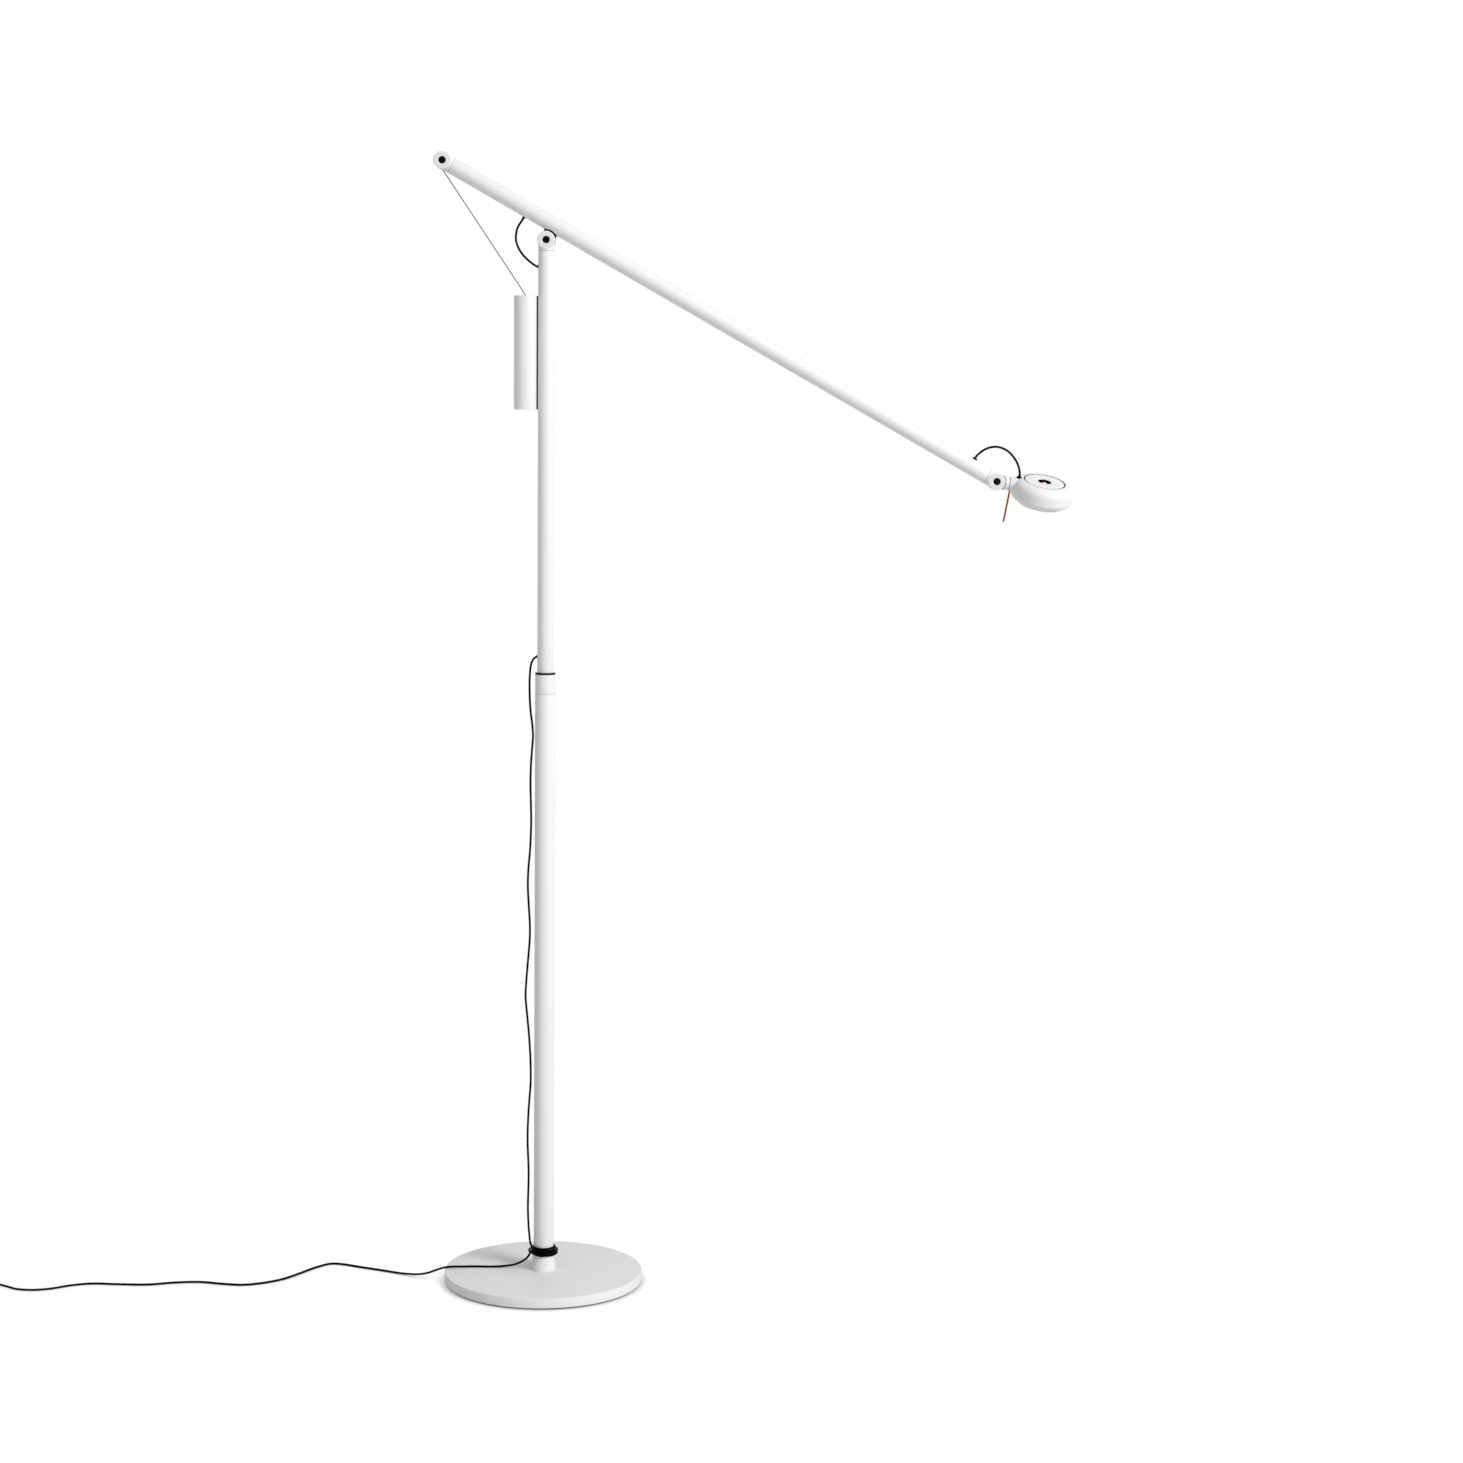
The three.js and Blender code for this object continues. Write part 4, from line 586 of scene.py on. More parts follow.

# %% [markdown]
# ## Studio
#
# One large soft light from the right and the front, a sky and a brighter ground that fill the shadows, and a
# pale floor that fades into the white behind it. The floor is an acrylic sheet that glows a little from
# below, as on a product table, and an ambient-occlusion mask dims that glow next to the base and the cord:
# a painted contact shadow, so the shadow under the lamp is soft but never lost.

# %%
def studio_world():
    """Sky and ground of two strengths light the lamp; the camera, glass and mirrors see plain white."""
    world = bpy.data.worlds.new("studio")
    bpy.context.scene.world = world
    world.use_nodes = True
    tree = world.node_tree
    tree.nodes.clear()
    sky, white = [add_node(tree, "Background", Color=WHITE_LIGHT) for _ in range(2)]
    ray, parts = add_node(tree, "TexCoord"), add_node(tree, "SeparateXYZ")
    height = add_node(tree, "MapRange", From_Min=-HORIZON, From_Max=HORIZON,
                      To_Min=GROUND_STRENGTH, To_Max=SKY_STRENGTH)
    either, any_of = [add_node(tree, "Math") for _ in range(2)]
    either.operation = any_of.operation = "MAXIMUM"
    path, mix = add_node(tree, "LightPath"), add_node(tree, "MixShader")
    connect(tree,
            (ray, "Generated", parts, "Vector"), (parts, "Z", height, "Value"),
            (height, "Result", sky, "Strength"), (path, "Is Camera Ray", either, 0),
            (path, "Is Transmission Ray", either, 1), (either, 0, any_of, 0),
            (path, "Is Glossy Ray", any_of, 1), (any_of, 0, mix, "Fac"), (sky, "Background", mix, 1),
            (white, "Background", mix, 2), (mix, "Shader", add_node(tree, "OutputWorld"), "Surface"))


def softbox(name, at, look_at, size, power):
    data = bpy.data.lights.new(name, "AREA")
    data.shape = "RECTANGLE"
    data.size, data.size_y = size
    data.energy = power
    light = add_object(name, data)
    light.location = at
    light.rotation_euler = (Vector(look_at) - Vector(at)).to_track_quat("-Z", "Y").to_euler()
    return light


def product_floor():
    """Pale floor, lit a little from below, that thins out into the white around it, with painted contact
    shadow in its glow.
    """
    half = 4000
    corners = [(-half, -half, 0), (half, -half, 0), (half, half, 0), (-half, half, 0)]
    floor = mesh_object("floor", corners, [(0, 1, 2, 3)], moved(-100, 0, -0.2))
    material, tree, shader = new_material("glowing acrylic table", "#959595", 0.6, Specular_IOR_Level=0.2,
                                          Emission_Color=WHITE_LIGHT)
    path = add_node(tree, "LightPath")
    # Ambient occlusion dims the glow where the floor is hidden from the sky: painted contact shadow under the
    # base and the cord.
    contact_shade_mask = add_node(tree, "AmbientOcclusion", Distance=0.012)
    contact_shade_mask.samples = 8
    glow = add_node(tree, "MapRange", To_Min=FLOOR_BOUNCE, To_Max=FLOOR_GLOW)
    strength = add_node(tree, "Math")
    strength.operation = "MULTIPLY"
    place = add_node(tree, "TexCoord")
    stretch = add_node(tree, "Mapping", Location=(0.12, 0.0, 0), Scale=(0.9, 1.3, 1))
    distance = add_node(tree, "VectorMath")
    distance.operation = "LENGTH"
    fade = add_node(tree, "MapRange", From_Min=0.2, From_Max=0.75)
    fade.interpolation_type = "SMOOTHSTEP"
    clear, mix = add_node(tree, "BsdfTransparent"), add_node(tree, "MixShader")
    connect(tree,
            (path, "Is Camera Ray", glow, "Value"), (glow, "Result", strength, 0),
            (contact_shade_mask, "AO", strength, 1), (strength, 0, shader, "Emission Strength"),
            (place, "Object", stretch, "Vector"), (stretch, "Vector", distance, 0),
            (distance, "Value", fade, "Value"), (fade, "Result", mix, "Fac"),
            (shader, "BSDF", mix, 1), (clear, "BSDF", mix, 2),
            (mix, "Shader", tree.nodes["Material Output"], "Surface"))
    floor.data.materials.append(material)
    return floor


WHITE_LIGHT = (1.0, 1.0, 1.0, 1.0)
KEY_AT, KEY_AIM, KEY_SIZE, KEY_POWER = (5.2, -4.3, 4.7), (0.1, 0, 0.8), (3.0, 3.0), 478
SKY_STRENGTH, GROUND_STRENGTH, HORIZON = 0.44, 0.71, 0.25
FLOOR_GLOW, FLOOR_BOUNCE = 0.76, 0.38
bpy.context.scene.view_settings.view_transform = "Standard"
studio_world()
product_floor()
softbox("key", KEY_AT, KEY_AIM, KEY_SIZE, KEY_POWER)
print("studio: key from the right, sky", SKY_STRENGTH, "and ground", GROUND_STRENGTH)

# %% [markdown]
# ## Power cord
#
# One black cord, from the gland on the upper tube to the plug-in supply. It hangs beside the stem, winds
# round the stem's foot, drops to the base, runs over the rim and wanders over the floor. What the camera
# can't see lies in a neat coil just beyond the left edge. The whole cord is one line, in this order.

# %%
CORD, CORD_STEP, CORD_EASING = 2.75, 1.6, 6
LOWER_TUBE = 12.5
gland_height = middle("cord_gland").z
boss_top = limits("base_boss")[1].z
base_top = limits("base_plate")[1].z


def hanging_line():
    """From the gland down beside the stem, with the slack waves that a cord keeps."""
    exit_x = -9.4
    return through([
        (exit_x, 0, gland_height), (-12.4, 0, gland_height - 0.1), (-14.9, 0, gland_height - 3.2),
        (-17.1, 0, 789.5), (-18.4, 0, 783.7), (-19.0, 0, 776.6), (-19.4, 0, 769.0), (-19.5, 0, 757.0),
        (-19.1, 0, 742.2), (-18.0, 0, 727.0), (-15.9, 0, 711.0), (-15.0, 0, 696.3), (-16.2, 0.1, 681.0),
        (-17.6, 0.2, 659.6), (-18.1, 0.2, 636.9), (-17.4, 0.1, 609.5), (-17.1, 0, 586.4),
        (-18.4, -0.1, 553.5), (-20.5, -0.2, 528.1), (-21.0, -0.2, 506.8), (-19.7, -0.1, 481.5),
        (-18.3, 0, 456.1), (-18.6, 0.1, 438.5), (-20.6, 0.2, 413.5), (-22.7, 0.2, 387.0),
        (-23.6, 0.1, 366.7), (-21.6, 0, 343.4), (-19.0, -0.1, 315.7), (-17.1, -0.2, 281.6),
        (-16.9, -0.2, 255.9), (-18.8, -0.1, 230.2), (-20.4, 0, 200.2), (-20.6, 0.1, 178.7),
        (-19.2, 0.1, 139.9), (-20.0, 0, 92.3), (-19.2, 0, 71.2), (-18.4, 0, 61.0), (-17.6, -0.2, 54.4),
        (-17.3, -1.2, 50.2), (-16.6, -3.2, 47.2),
    ])


def wound_line():
    """Turns round the stem's foot: an inner layer from the top down, then a looser one over it.

    A station is a count of turns from the left, how far it stands off its layer in millimetres, and how many
    rows up it is. The easing of the cord takes 0.3 mm off a radius, so the inner layer has that to spare.
    """
    row = CORD + 0.02
    inner, foot = LOWER_TUBE + CORD / 2 + 0.4, boss_top + CORD / 2
    outer = inner + row + 0.05
    inner_turns = [
        (0.06, 1.4, 3.4), (0.14, 0.5, 3.15), (0.25, 0, 3), (0.50, 0, 3.1), (0.75, 0, 3.1), (1.00, 0, 2.3),
        (1.25, 0, 2), (3.25, 0, 0),
    ]
    outer_turns = [
        (3.37, -1.2, 0), (3.50, 0, 0.2), (3.60, 0, 0.2), (3.68, -0.2, 0.7), (3.75, 0, 1.25),
        (3.90, 1.0, 1.35), (4.00, 1.6, 1.35), (4.11, 0.7, 1), (4.21, 0, 0.3 / row), (4.26, 0, 0.3 / row),
        (4.34, 0.4, 1.1), (4.44, 0, 1.5), (4.56, 0.2 * row, 1.45), (4.62, 0.8 * row, 1.2),
        (4.68, 1.1 * row, 0.8), (4.75, 0.8 * row, 0.3), (4.82, 0, 0.1), (4.96, 0.2, 0.3),
    ]
    stations = [(turn, layer + out, foot + up * row)
                for layer, layer_turns in ((inner, inner_turns), (outer, outer_turns))
                for turn, out, up in layer_turns]
    turns, radii, heights = zip(*stations)
    points = []
    for turn in np.arange(turns[0], turns[-1], 1 / 48):
        radius, height = np.interp(turn, turns, radii), np.interp(turn, turns, heights)
        angle = math.pi + 2 * math.pi * turn
        points.append((radius * math.cos(angle), radius * math.sin(angle), height))
    return np.array(points)


def resting_line():
    """From the turns down to the base, over its rim and along the floor."""
    on_base = base_top + CORD / 2 + 0.05
    on_floor = CORD / 2 + 0.05
    over_rim = [
        (-17.2, 0.4, 35.6), (-17.5, -2.9, 34.0), (-19.9, -5.9, 30.8), (-24.9, -6.2, 26.7),
        (-29.9, -3.6, 23.3), (-36.0, -0.5, 19.9), (-46.0, 2.2, 17.2), (-64.0, 3.5, on_base),
        (-88.0, 3.5, on_base), (-107.0, 2.0, on_base), (-122.0, -1.6, on_base + 0.5), (-134.0, -3.4, 13.2),
        (-146.0, -1.8, 8.2), (-158.0, 2.6, 4.7), (-179.0, 13.0, 2.1),
    ]
    along_floor = [
        (-209.0, 28.6), (-241.0, 43.0), (-262.0, 53.0), (-278.0, 55.5), (-295.0, 39.0), (-313.0, 11.0),
        (-331.0, -14.0), (-354.0, -31.0), (-377.0, -39.0), (-402.0, -36.0), (-432.0, -29.0), (-462.0, -32.0),
        (-496.0, -42.0), (-533.0, -42.0), (-567.0, -40.5), (-591.0, -48.5), (-613.0, -63.0), (-634.0, -69.4),
        (-655.0, -66.5), (-672.0, -54.6), (-684.0, -46.8),
    ]
    return through(over_rim + [(x, y, on_floor) for x, y in along_floor])


COIL_AT = Vector((-704.0, -57.0))
COIL_MIDDLE = 14.4


def coil_line():
    """Neat coil in four layers, wound in, out, in and out again, up to where the short end leaves it."""
    inner, outer = COIL_MIDDLE - 4.6, COIL_MIDDLE + 3.75
    step, rise = 7.5, CORD + 0.08
    points, angle = [], math.radians(54)
    for layer in range(4):
        height = CORD / 2 + 0.05 + rise * layer
        a, b = (outer, inner) if layer % 2 == 0 else (inner, outer)
        spiral = int(360 * (3 if layer < 3 else 2.6) / step)
        for k in range(spiral):
            radius = a + (b - a) * k / spiral
            points.append((radius, angle, height))
            angle += math.radians(step)
        climb = int(90 / step)
        for k in range(climb if layer < 3 else 0):
            share = (k + 0.5) / climb
            share = share * share * (3 - 2 * share)
            points.append((b, angle, height + rise * share))
            angle += math.radians(step)
    return np.array([(COIL_AT.x + r * math.cos(t), COIL_AT.y + r * math.sin(t), z) for r, t, z in points])


def cord_line():
    tip = middle("adapter_relief")._replace(y=limits("adapter_relief")[1].y)
    coil = coil_line()
    last = Vector(coil[-1])
    sink = [(last.x - 0.2, last.y - 7, last.z), (last.x + 1.8, last.y - 18, last.z - 0.8),
            (tip.x - 2.2, tip.y + 10, tip.z - 0.3), (tip.x - 0.2, tip.y + 3, tip.z), tip]
    tail = through([tuple(coil[-2]), tuple(coil[-1])] + sink)[3:]
    whole = np.concatenate([hanging_line(), wound_line(), resting_line(), coil[1:], tail])
    return eased(even(whole, CORD_STEP), CORD_EASING)


power_line = cord_line()

# %% [markdown]
# ## Base
#
# A turned steel plate on a thin rubber pad, with a small boss where the stem is bolted on. The plate's rims
# are rounded by less than a millimetre, which is all that a 12.5 mm plate gets before it is painted.

# %%
PAD_TOP = limits("base_plate")[0].z
BASE_RADIUS = limits("base_plate")[1].x
PAD_RADIUS = limits("base_pad")[1].x
BOLT_HOLE, BOLT_HEAD, HEAD_DEPTH = 4.15, 6.65, 8.4

turned_piece("pad", "stand", "black_pad", "base_pad", [
    (0, 0), (PAD_RADIUS, 0, 0.4), (PAD_RADIUS, PAD_TOP - 0.05, 0.3), (0, PAD_TOP - 0.05),
], facets=160)
turned_piece("base", "stand", "white_paint_steel", "base_plate", [
    (BOLT_HEAD, PAD_TOP), (BASE_RADIUS, PAD_TOP, 0.8), (BASE_RADIUS, base_top, 0.9), (BOLT_HOLE, base_top),
    (BOLT_HOLE, PAD_TOP + HEAD_DEPTH), (BOLT_HEAD, PAD_TOP + HEAD_DEPTH),
], facets=192, ring=True)
boss_foot = limits("base_boss")[1].x
turned_piece("boss", "stand", "white_paint_aluminium", "base_boss", [
    (LOWER_TUBE + 0.12, base_top), (boss_foot, base_top, 0.3), (boss_foot - 0.35, base_top + 2.2, 1.5),
    (13.5, boss_top, 0.7), (LOWER_TUBE + 0.12, boss_top, 0.3),
], ring=True)
dress(STEEL, "base_bolt", "foot_plug")
print("base: plate, pad and boss")

# %% [markdown]
# ## Stem
#
# The lower tube carries a collar and a black bush, and the upper tube turns in it on a steel spindle. The
# fine seams and the black ring between the tubes tell the eye that the stem can turn.

# %%
collar_foot = limits("lower_tube")[1].z
flange_foot = limits("stem_collar")[1].z
flange_top = limits("swivel_bush")[1].z
upper_foot = limits("upper_tube")[0].z
upper_top = limits("upper_tube")[1].z
UPPER_TUBE = limits("upper_tube")[1].x
WALL = 1.5
SEAM = 0.14
SPIGOT, SPIGOT_BORE, SPIGOT_FOOT = 10.8, 9.2, collar_foot - 30
BUSH, BUSH_BORE, BUSH_FLANGE = 8.95, 7.2, 12.6
LEAD_HOLE = 1.95


def tube(name, outer, foot, top, place=STAND):
    return lathe(name, band(outer - WALL, outer, foot, top, 0.15), place, 128, ring=True, steps=3)


lower_tube = tube("lower tube", LOWER_TUBE, base_top, collar_foot - SEAM)
finish_piece(lower_tube, "stand", "white_paint_steel", "lower_tube")
turned_piece("collar", "stand", "white_paint_aluminium", "stem_collar", [
    (SPIGOT_BORE, SPIGOT_FOOT), (SPIGOT, SPIGOT_FOOT, 0.5), (SPIGOT, collar_foot + 0.1),
    (LOWER_TUBE, collar_foot + 0.1, 0.25), (LOWER_TUBE, flange_foot, 0.4), (SPIGOT_BORE, flange_foot),
], facets=128, ring=True)
turned_piece("collar seam", "stand", "black_rubber", "stem_collar",
             band(10.9, 12.2, collar_foot - SEAM + 0.02, collar_foot + 0.08), ring=True)
turned_piece("bush", "stand", "black_plastic", "swivel_bush", [
    (BUSH_BORE, SPIGOT_FOOT), (BUSH, SPIGOT_FOOT, 0.3), (BUSH, flange_foot), (BUSH_FLANGE, flange_foot, 0.3),
    (BUSH_FLANGE, flange_top, 0.7), (BUSH_BORE, flange_top, 0.2),
], facets=128, ring=True)
dress(STEEL, "stem_spindle", "spindle_clip")

pivot_lead_height = middle("stem_lead_grommet").z
upper_tube = tube("upper tube", UPPER_TUBE, upper_foot, upper_top - SEAM)
cut(upper_tube, *[
    rod("hole", LEAD_HOLE, 4, 14, turned_to((-1, 0, 0), (0, 0, height)), facets=32)
    for height in (gland_height, pivot_lead_height)
])
finish_piece(upper_tube, "upper_stem", "white_paint_steel", "upper_tube")


LARGE_GROMMET = (6.4, 2.0)


def grommet(name, body, node, place, flange=4.8, height=0.8):
    """Rubber sleeve with a domed flange; its bore is just wider than the lead."""
    bore, neck = CORD / 2 + 0.1, 1.8
    turned_piece(name, body, "black_rubber", node, [
        (bore, -1.45), (neck, -1.45, 0.3), (neck, 0.15), (flange / 2, 0.15, 0.25),
        (flange / 2, 0.2 + height * 0.45, 0.35), (bore + 0.75, 0.2 + height, 0.35),
        (bore, 0.2 + height, 0.15),
    ], place, facets=48, ring=True)


for name, node, height in (("cord gland", "cord_gland", gland_height),
                           ("lead grommet", "stem_lead_grommet", pivot_lead_height)):
    grommet(name, "upper_stem", node, turned_to((-1, 0, 0), (-UPPER_TUBE, 0, height)))
dress(CORD_PVC, "stem_inner_lead")
print("stem: two tubes, collar, bush, two grommets")

# %% [markdown]
# ## Knuckles
#
# The same forked knuckle sits on top of the stem and at both ends of the arm: a round cap that plugs into
# the tube, two round cheeks across it, and a slot between them with a round floor. It is made like the real
# one, as a turned bar with a cross bar, and then milled. One function makes all three.

# %%
CAP, BARREL, CHEEKS, SLOT_FLOOR = 13.0, 10.7, 10.5, 8.8
PIN_SEAT, PIN_HEAD = 7.5, 4.3
SLOT_HALF, WIRE_SLOT_HALF = 4.0, 3.7
PLUG_RADIUS, PLUG_LENGTH = 8.35, 16
PIN_HOLE, PIN_BORE = 3.12, 3.15
TONGUE_END, TONGUE_HALF = 8.4, 3.68


def knuckle(name, place, slot_half, ways):
    """Forked knuckle. Local Z points out of the tube, the pin lies along local Y, and ways are more cuts."""
    cap = lathe(name, [
        (0, -CAP - PLUG_LENGTH), (PLUG_RADIUS, -CAP - PLUG_LENGTH, 0.5), (PLUG_RADIUS, -CAP + SEAM),
        (UPPER_TUBE, -CAP + SEAM, 0.3), (UPPER_TUBE, -3.6), (0, -3.6),
    ], STAND, 96)
    join(cap, rod("barrel", BARREL, -CHEEKS, CHEEKS, ACROSS, 96, edge=0.8))
    tools = [
        box("slot", (-14, -slot_half, -6), (14, slot_half, 14)),
        rod("slot floor", SLOT_FLOOR, -slot_half, slot_half, ACROSS, 96),
        rod("bore", PIN_HOLE, -12, 12, ACROSS, 48),
    ]
    for side in (FRONT, ACROSS):
        tools.append(rod("seat", PIN_HEAD + 0.15, PIN_SEAT, 12, side, 64))
        tools.append(lathe("seat edge", [
            (0, CHEEKS - 0.5), (PIN_HEAD + 0.14, CHEEKS - 0.5), (PIN_HEAD + 0.99, CHEEKS + 0.35),
            (0, CHEEKS + 0.35),
        ], side, 64))
    cut(cap, *tools)
    for way in ways:
        cut(cap, way)
    return laid(cap, place)


def seam_ring(name, body, node, place, outer, foot, top):
    """Thin dark gasket in the joint between two tubes, just below their surface."""
    section = band(outer - 1.4, outer - 0.25, foot, top)
    turned_piece(name, body, "black_rubber", node, section, place, ring=True)


def hinge_screw(name, place):
    """Flat black head with a rounded rim and a shallow hexagon, on a shank along the pin's line."""
    head = lathe(name, [
        (0, CHEEKS - 0.1), (PIN_HEAD, CHEEKS - 0.1, 0.45), (PIN_HEAD, PIN_SEAT + 0.2), (3, PIN_SEAT + 0.2),
        (3, -9.0, 0.4), (0, -9.0),
    ], FRONT, 64)
    cut(head, rod("hexagon", 1.75, CHEEKS - 1.4, CHEEKS + 1, FRONT, 6))
    return laid(head, place)


def hinge_nut(name, place):
    return laid(lathe(name, [
        (PIN_HOLE, PIN_SEAT + 0.2), (PIN_HEAD, PIN_SEAT + 0.2), (PIN_HEAD, CHEEKS - 0.1, 0.45),
        (0, CHEEKS - 0.1), (0, PIN_SEAT + 1.75), (PIN_HOLE, PIN_SEAT + 1.75),
    ], ACROSS, 64, ring=True), place)


def out_of(frame_matrix, direction, at):
    """Matrix whose Z is a local direction of a frame and whose Y stays across, at a local place."""
    place = frame_matrix @ Vector([v * MM for v in at])
    z = (frame_matrix.to_3x3() @ Vector(direction)).normalized()
    y = frame_matrix.to_3x3() @ Vector((0, 1, 0))
    matrix = Matrix((y.cross(z), y, z)).transposed().to_4x4()
    matrix.translation = place
    return matrix


TAIL_FORK = out_of(ARM, (-1, 0, 0), (arm_tail.x, 0, ARM_RISE))
HEAD_FORK = out_of(ARM, (1, 0, 0), (arm_head.x, 0, ARM_RISE))
wire_way = box("wire way", (-14, -1.1, -CAP), (-5.1, 1.1, 0))
FORKS = (
    (PIVOT, "upper_stem", "stem", "pivot", SLOT_HALF, []),
    (TAIL_FORK, "arm", "tail", "tail_hinge", WIRE_SLOT_HALF, [wire_way]),
    (HEAD_FORK, "arm", "head", "head_hinge", SLOT_HALF, []),
)
for fork, body, stem, hinge, slot_half, ways in FORKS:
    piece = knuckle(stem + " knuckle", fork, slot_half, ways)
    finish_piece(piece, body, "white_paint_aluminium", stem + "_knuckle")
    # The flat cheek faces take the second, greyer white: painted shade on the faces turned to the front.
    piece.data.materials.append(FLAT_FACE_SHADE_PAINT)
    for face in piece.data.polygons:
        shaded_flat = abs(face.normal.y) > 0.99 and abs(abs(face.center.y) / MM - CHEEKS) < 0.05
        face.material_index = int(shaded_flat)
half = SEAM - 0.02
for fork, body, stem, hinge, *_ in FORKS:
    finish_piece(hinge_screw(hinge + " screw", fork), body, "black_steel", hinge + "_screw")
    finish_piece(hinge_nut(hinge + " nut", fork), body, "black_steel", hinge + "_nut")
    seam_ring(hinge + " seam", body, stem + "_knuckle", fork, UPPER_TUBE, -CAP - half, -CAP + half)
print("three knuckles with their screws and nuts")

# %% [markdown]
# ## Arm
#
# A plain tube, notched underneath where it passes the stem's knuckle. The dark lug inside shows in the
# notch: its tongue goes down between the cheeks. The arm is cut in its own frame, where it lies along X, and
# then laid down along its slope.

# %%
tail_end, head_end = arm_tail.x + CAP, arm_head.x - CAP
tail_hole = local_x(ARM, "tail_grommet")
head_hole = local_x(ARM, "arm_grommet")
LUG = 18.0


def arm_tube():
    shape = tube("arm tube", UPPER_TUBE, tail_end + SEAM, head_end - SEAM, moved(z=ARM_RISE) @ ALONG)
    cut(shape,
        rod("notch", BARREL + 2.3, -20, 20, ACROSS, 96),
        box("tongue slot", (-8.7, -4, 0), (8.7, 4, ARM_RISE)),
        rod("tail hole", LEAD_HOLE, 0, ARM_RISE, moved(tail_hole), 32),
        rod("head hole", LEAD_HOLE, ARM_RISE, 2 * ARM_RISE, moved(head_hole), 32),
        lathe("screw seat", [(0, 20), (2.1, 20), (2.1, 28.2), (3.7, 30.05), (3.7, 32), (0, 32)], STAND, 48))
    return laid(shape, ARM)


def arm_lug():
    shape = rod("arm lug", 8.3, -LUG, LUG, moved(z=ARM_RISE) @ ALONG, 96, edge=0.4)
    tongue = box("tongue", (-8.36, -3.66, 0), (8.36, 3.66, ARM_RISE - 4))
    join(shape, tongue, rod("tongue end", TONGUE_END, -TONGUE_HALF, TONGUE_HALF, ACROSS, 96))
    cut(shape,
        rod("pin bore", PIN_BORE, -6, 6, ACROSS, 48),
        rod("lead way", 2.2, -30, 30, moved(z=ARM_RISE - 2.5) @ ALONG, 32),
        rod("screw bore", 2.1, 21.5, 34, STAND, 32))
    return laid(shape, ARM)


def lug_screw():
    top = ARM_RISE + UPPER_TUBE - 0.4
    shape = lathe("lug screw", [
        (0, top - 8), (1.9, top - 8, 0.3), (1.9, top - 1.5), (3.4, top, 0.12), (0, top),
    ], STAND, 48)
    cut(shape, rod("socket", 1.2, top - 1.3, top + 1, STAND, 6))
    return laid(shape, ARM)


finish_piece(arm_tube(), "arm", "white_paint_aluminium", "arm_tube")
finish_piece(arm_lug(), "arm", "black_steel", "arm_lug")
finish_piece(lug_screw(), "arm", "bare_steel", "lug_screw")
place = out_of(ARM, (0, 0, -1), (tail_hole, 0, ARM_RISE - UPPER_TUBE))
grommet("tail grommet", "arm", "tail_grommet", place)
place = out_of(ARM, (0, 0, 1), (head_hole, 0, ARM_RISE + UPPER_TUBE))
grommet("arm grommet", "arm", "arm_grommet", place, *LARGE_GROMMET)
dress(CORD_PVC, "arm_inner_lead")
print("arm: tube, lug, screw and two grommets")

# %% [markdown]
# ## Wire and counterweight
#
# The wire comes off a small roller in the tail knuckle and ends in a nipple in the counterweight's top. The
# weight is a turned steel bar with a magnetic strip let into its side, which holds it to the stem and lets
# it slide.

# %%
weight_foot, weight_top = [corner.z for corner in limits("weight_body")]
WEIGHT_LENGTH = weight_top - weight_foot
WEIGHT_RADIUS = 14.2
strip_low, strip_high = limits("magnet_strip")

weight = rod("counterweight", WEIGHT_RADIUS, -WEIGHT_LENGTH, 0, WEIGHT, 160, edge=0.5)
cut(weight,
    box("groove", (strip_low.x - 0.2, -1.6, weight_foot - 1), (strip_high.x + 3, 1.6, weight_top + 1)),
    rod("nipple hole", 2.6, -12.2, 2, WEIGHT, 48))
finish_piece(weight, "counterweight", "white_paint_steel", "weight_body")
strip = box("magnet strip", (strip_low.x, -1.5, weight_foot + 0.1), (strip_high.x, 1.5, weight_top - 0.1))
finish_piece(strip, "counterweight", "black_magnet", "magnet_strip")
turned_piece("wire nipple", "counterweight", "bare_steel", "wire_anchor", [
    (0.75, -12), (2.5, -12), (2.5, -0.1, 0.4), (0.75, -0.1),
], WEIGHT, 48, ring=True)
turned_piece("wire roller", "wire", "black_plastic", "wire_roller", [
    (PIN_BORE, -3.3), (7.7, -3.3, 0.4), (7.7, -1.25, 0.4), (5.45, -0.7, 0.5), (5.45, 0.7, 0.5),
    (7.7, 1.25, 0.4), (7.7, 3.3, 0.4), (PIN_BORE, 3.3),
], Matrix.Translation(TAIL_AT) @ ACROSS, 96, ring=True)


def wire_line():
    """Round the roller, off it at a tangent and straight down to just above the nipple."""
    reach = 6.15
    end = (WEIGHT.translation - TAIL_AT) / MM + Vector((0.3, 0, 0.35))
    leave = math.atan2(end.z, end.x) - math.acos(reach / math.hypot(end.x, end.z))
    angles = [leave - 2.2 * (1 - k / 24) for k in range(24)]
    points = [(reach * math.cos(angle), 0, reach * math.sin(angle)) for angle in angles]
    start = Vector((reach * math.cos(leave), 0, reach * math.sin(leave)))
    points += [tuple(start.lerp(end, k / 40)) for k in range(41)]
    return np.array(points) + np.array(TAIL_AT) / MM


finish_piece(cord("steel wire", wire_line(), 1.2, WIRE_STEEL, 12), "wire", "steel_wire", "steel_wire")
print(f"counterweight {WEIGHT_LENGTH:.1f} mm long, on {line_length(wire_line()):.0f} mm of wire")

# %% [markdown]
# ## Neck and head
#
# The neck is a short bar with a tongue on one side and a hollow end that clears the arm's knuckle. The head
# is a thick disc with well-rounded rims that grows out of the neck. On top a flat cover sits in a fine dark
# groove, with a black well and a pale button in its middle; below, a ring holds the opal diffuser.

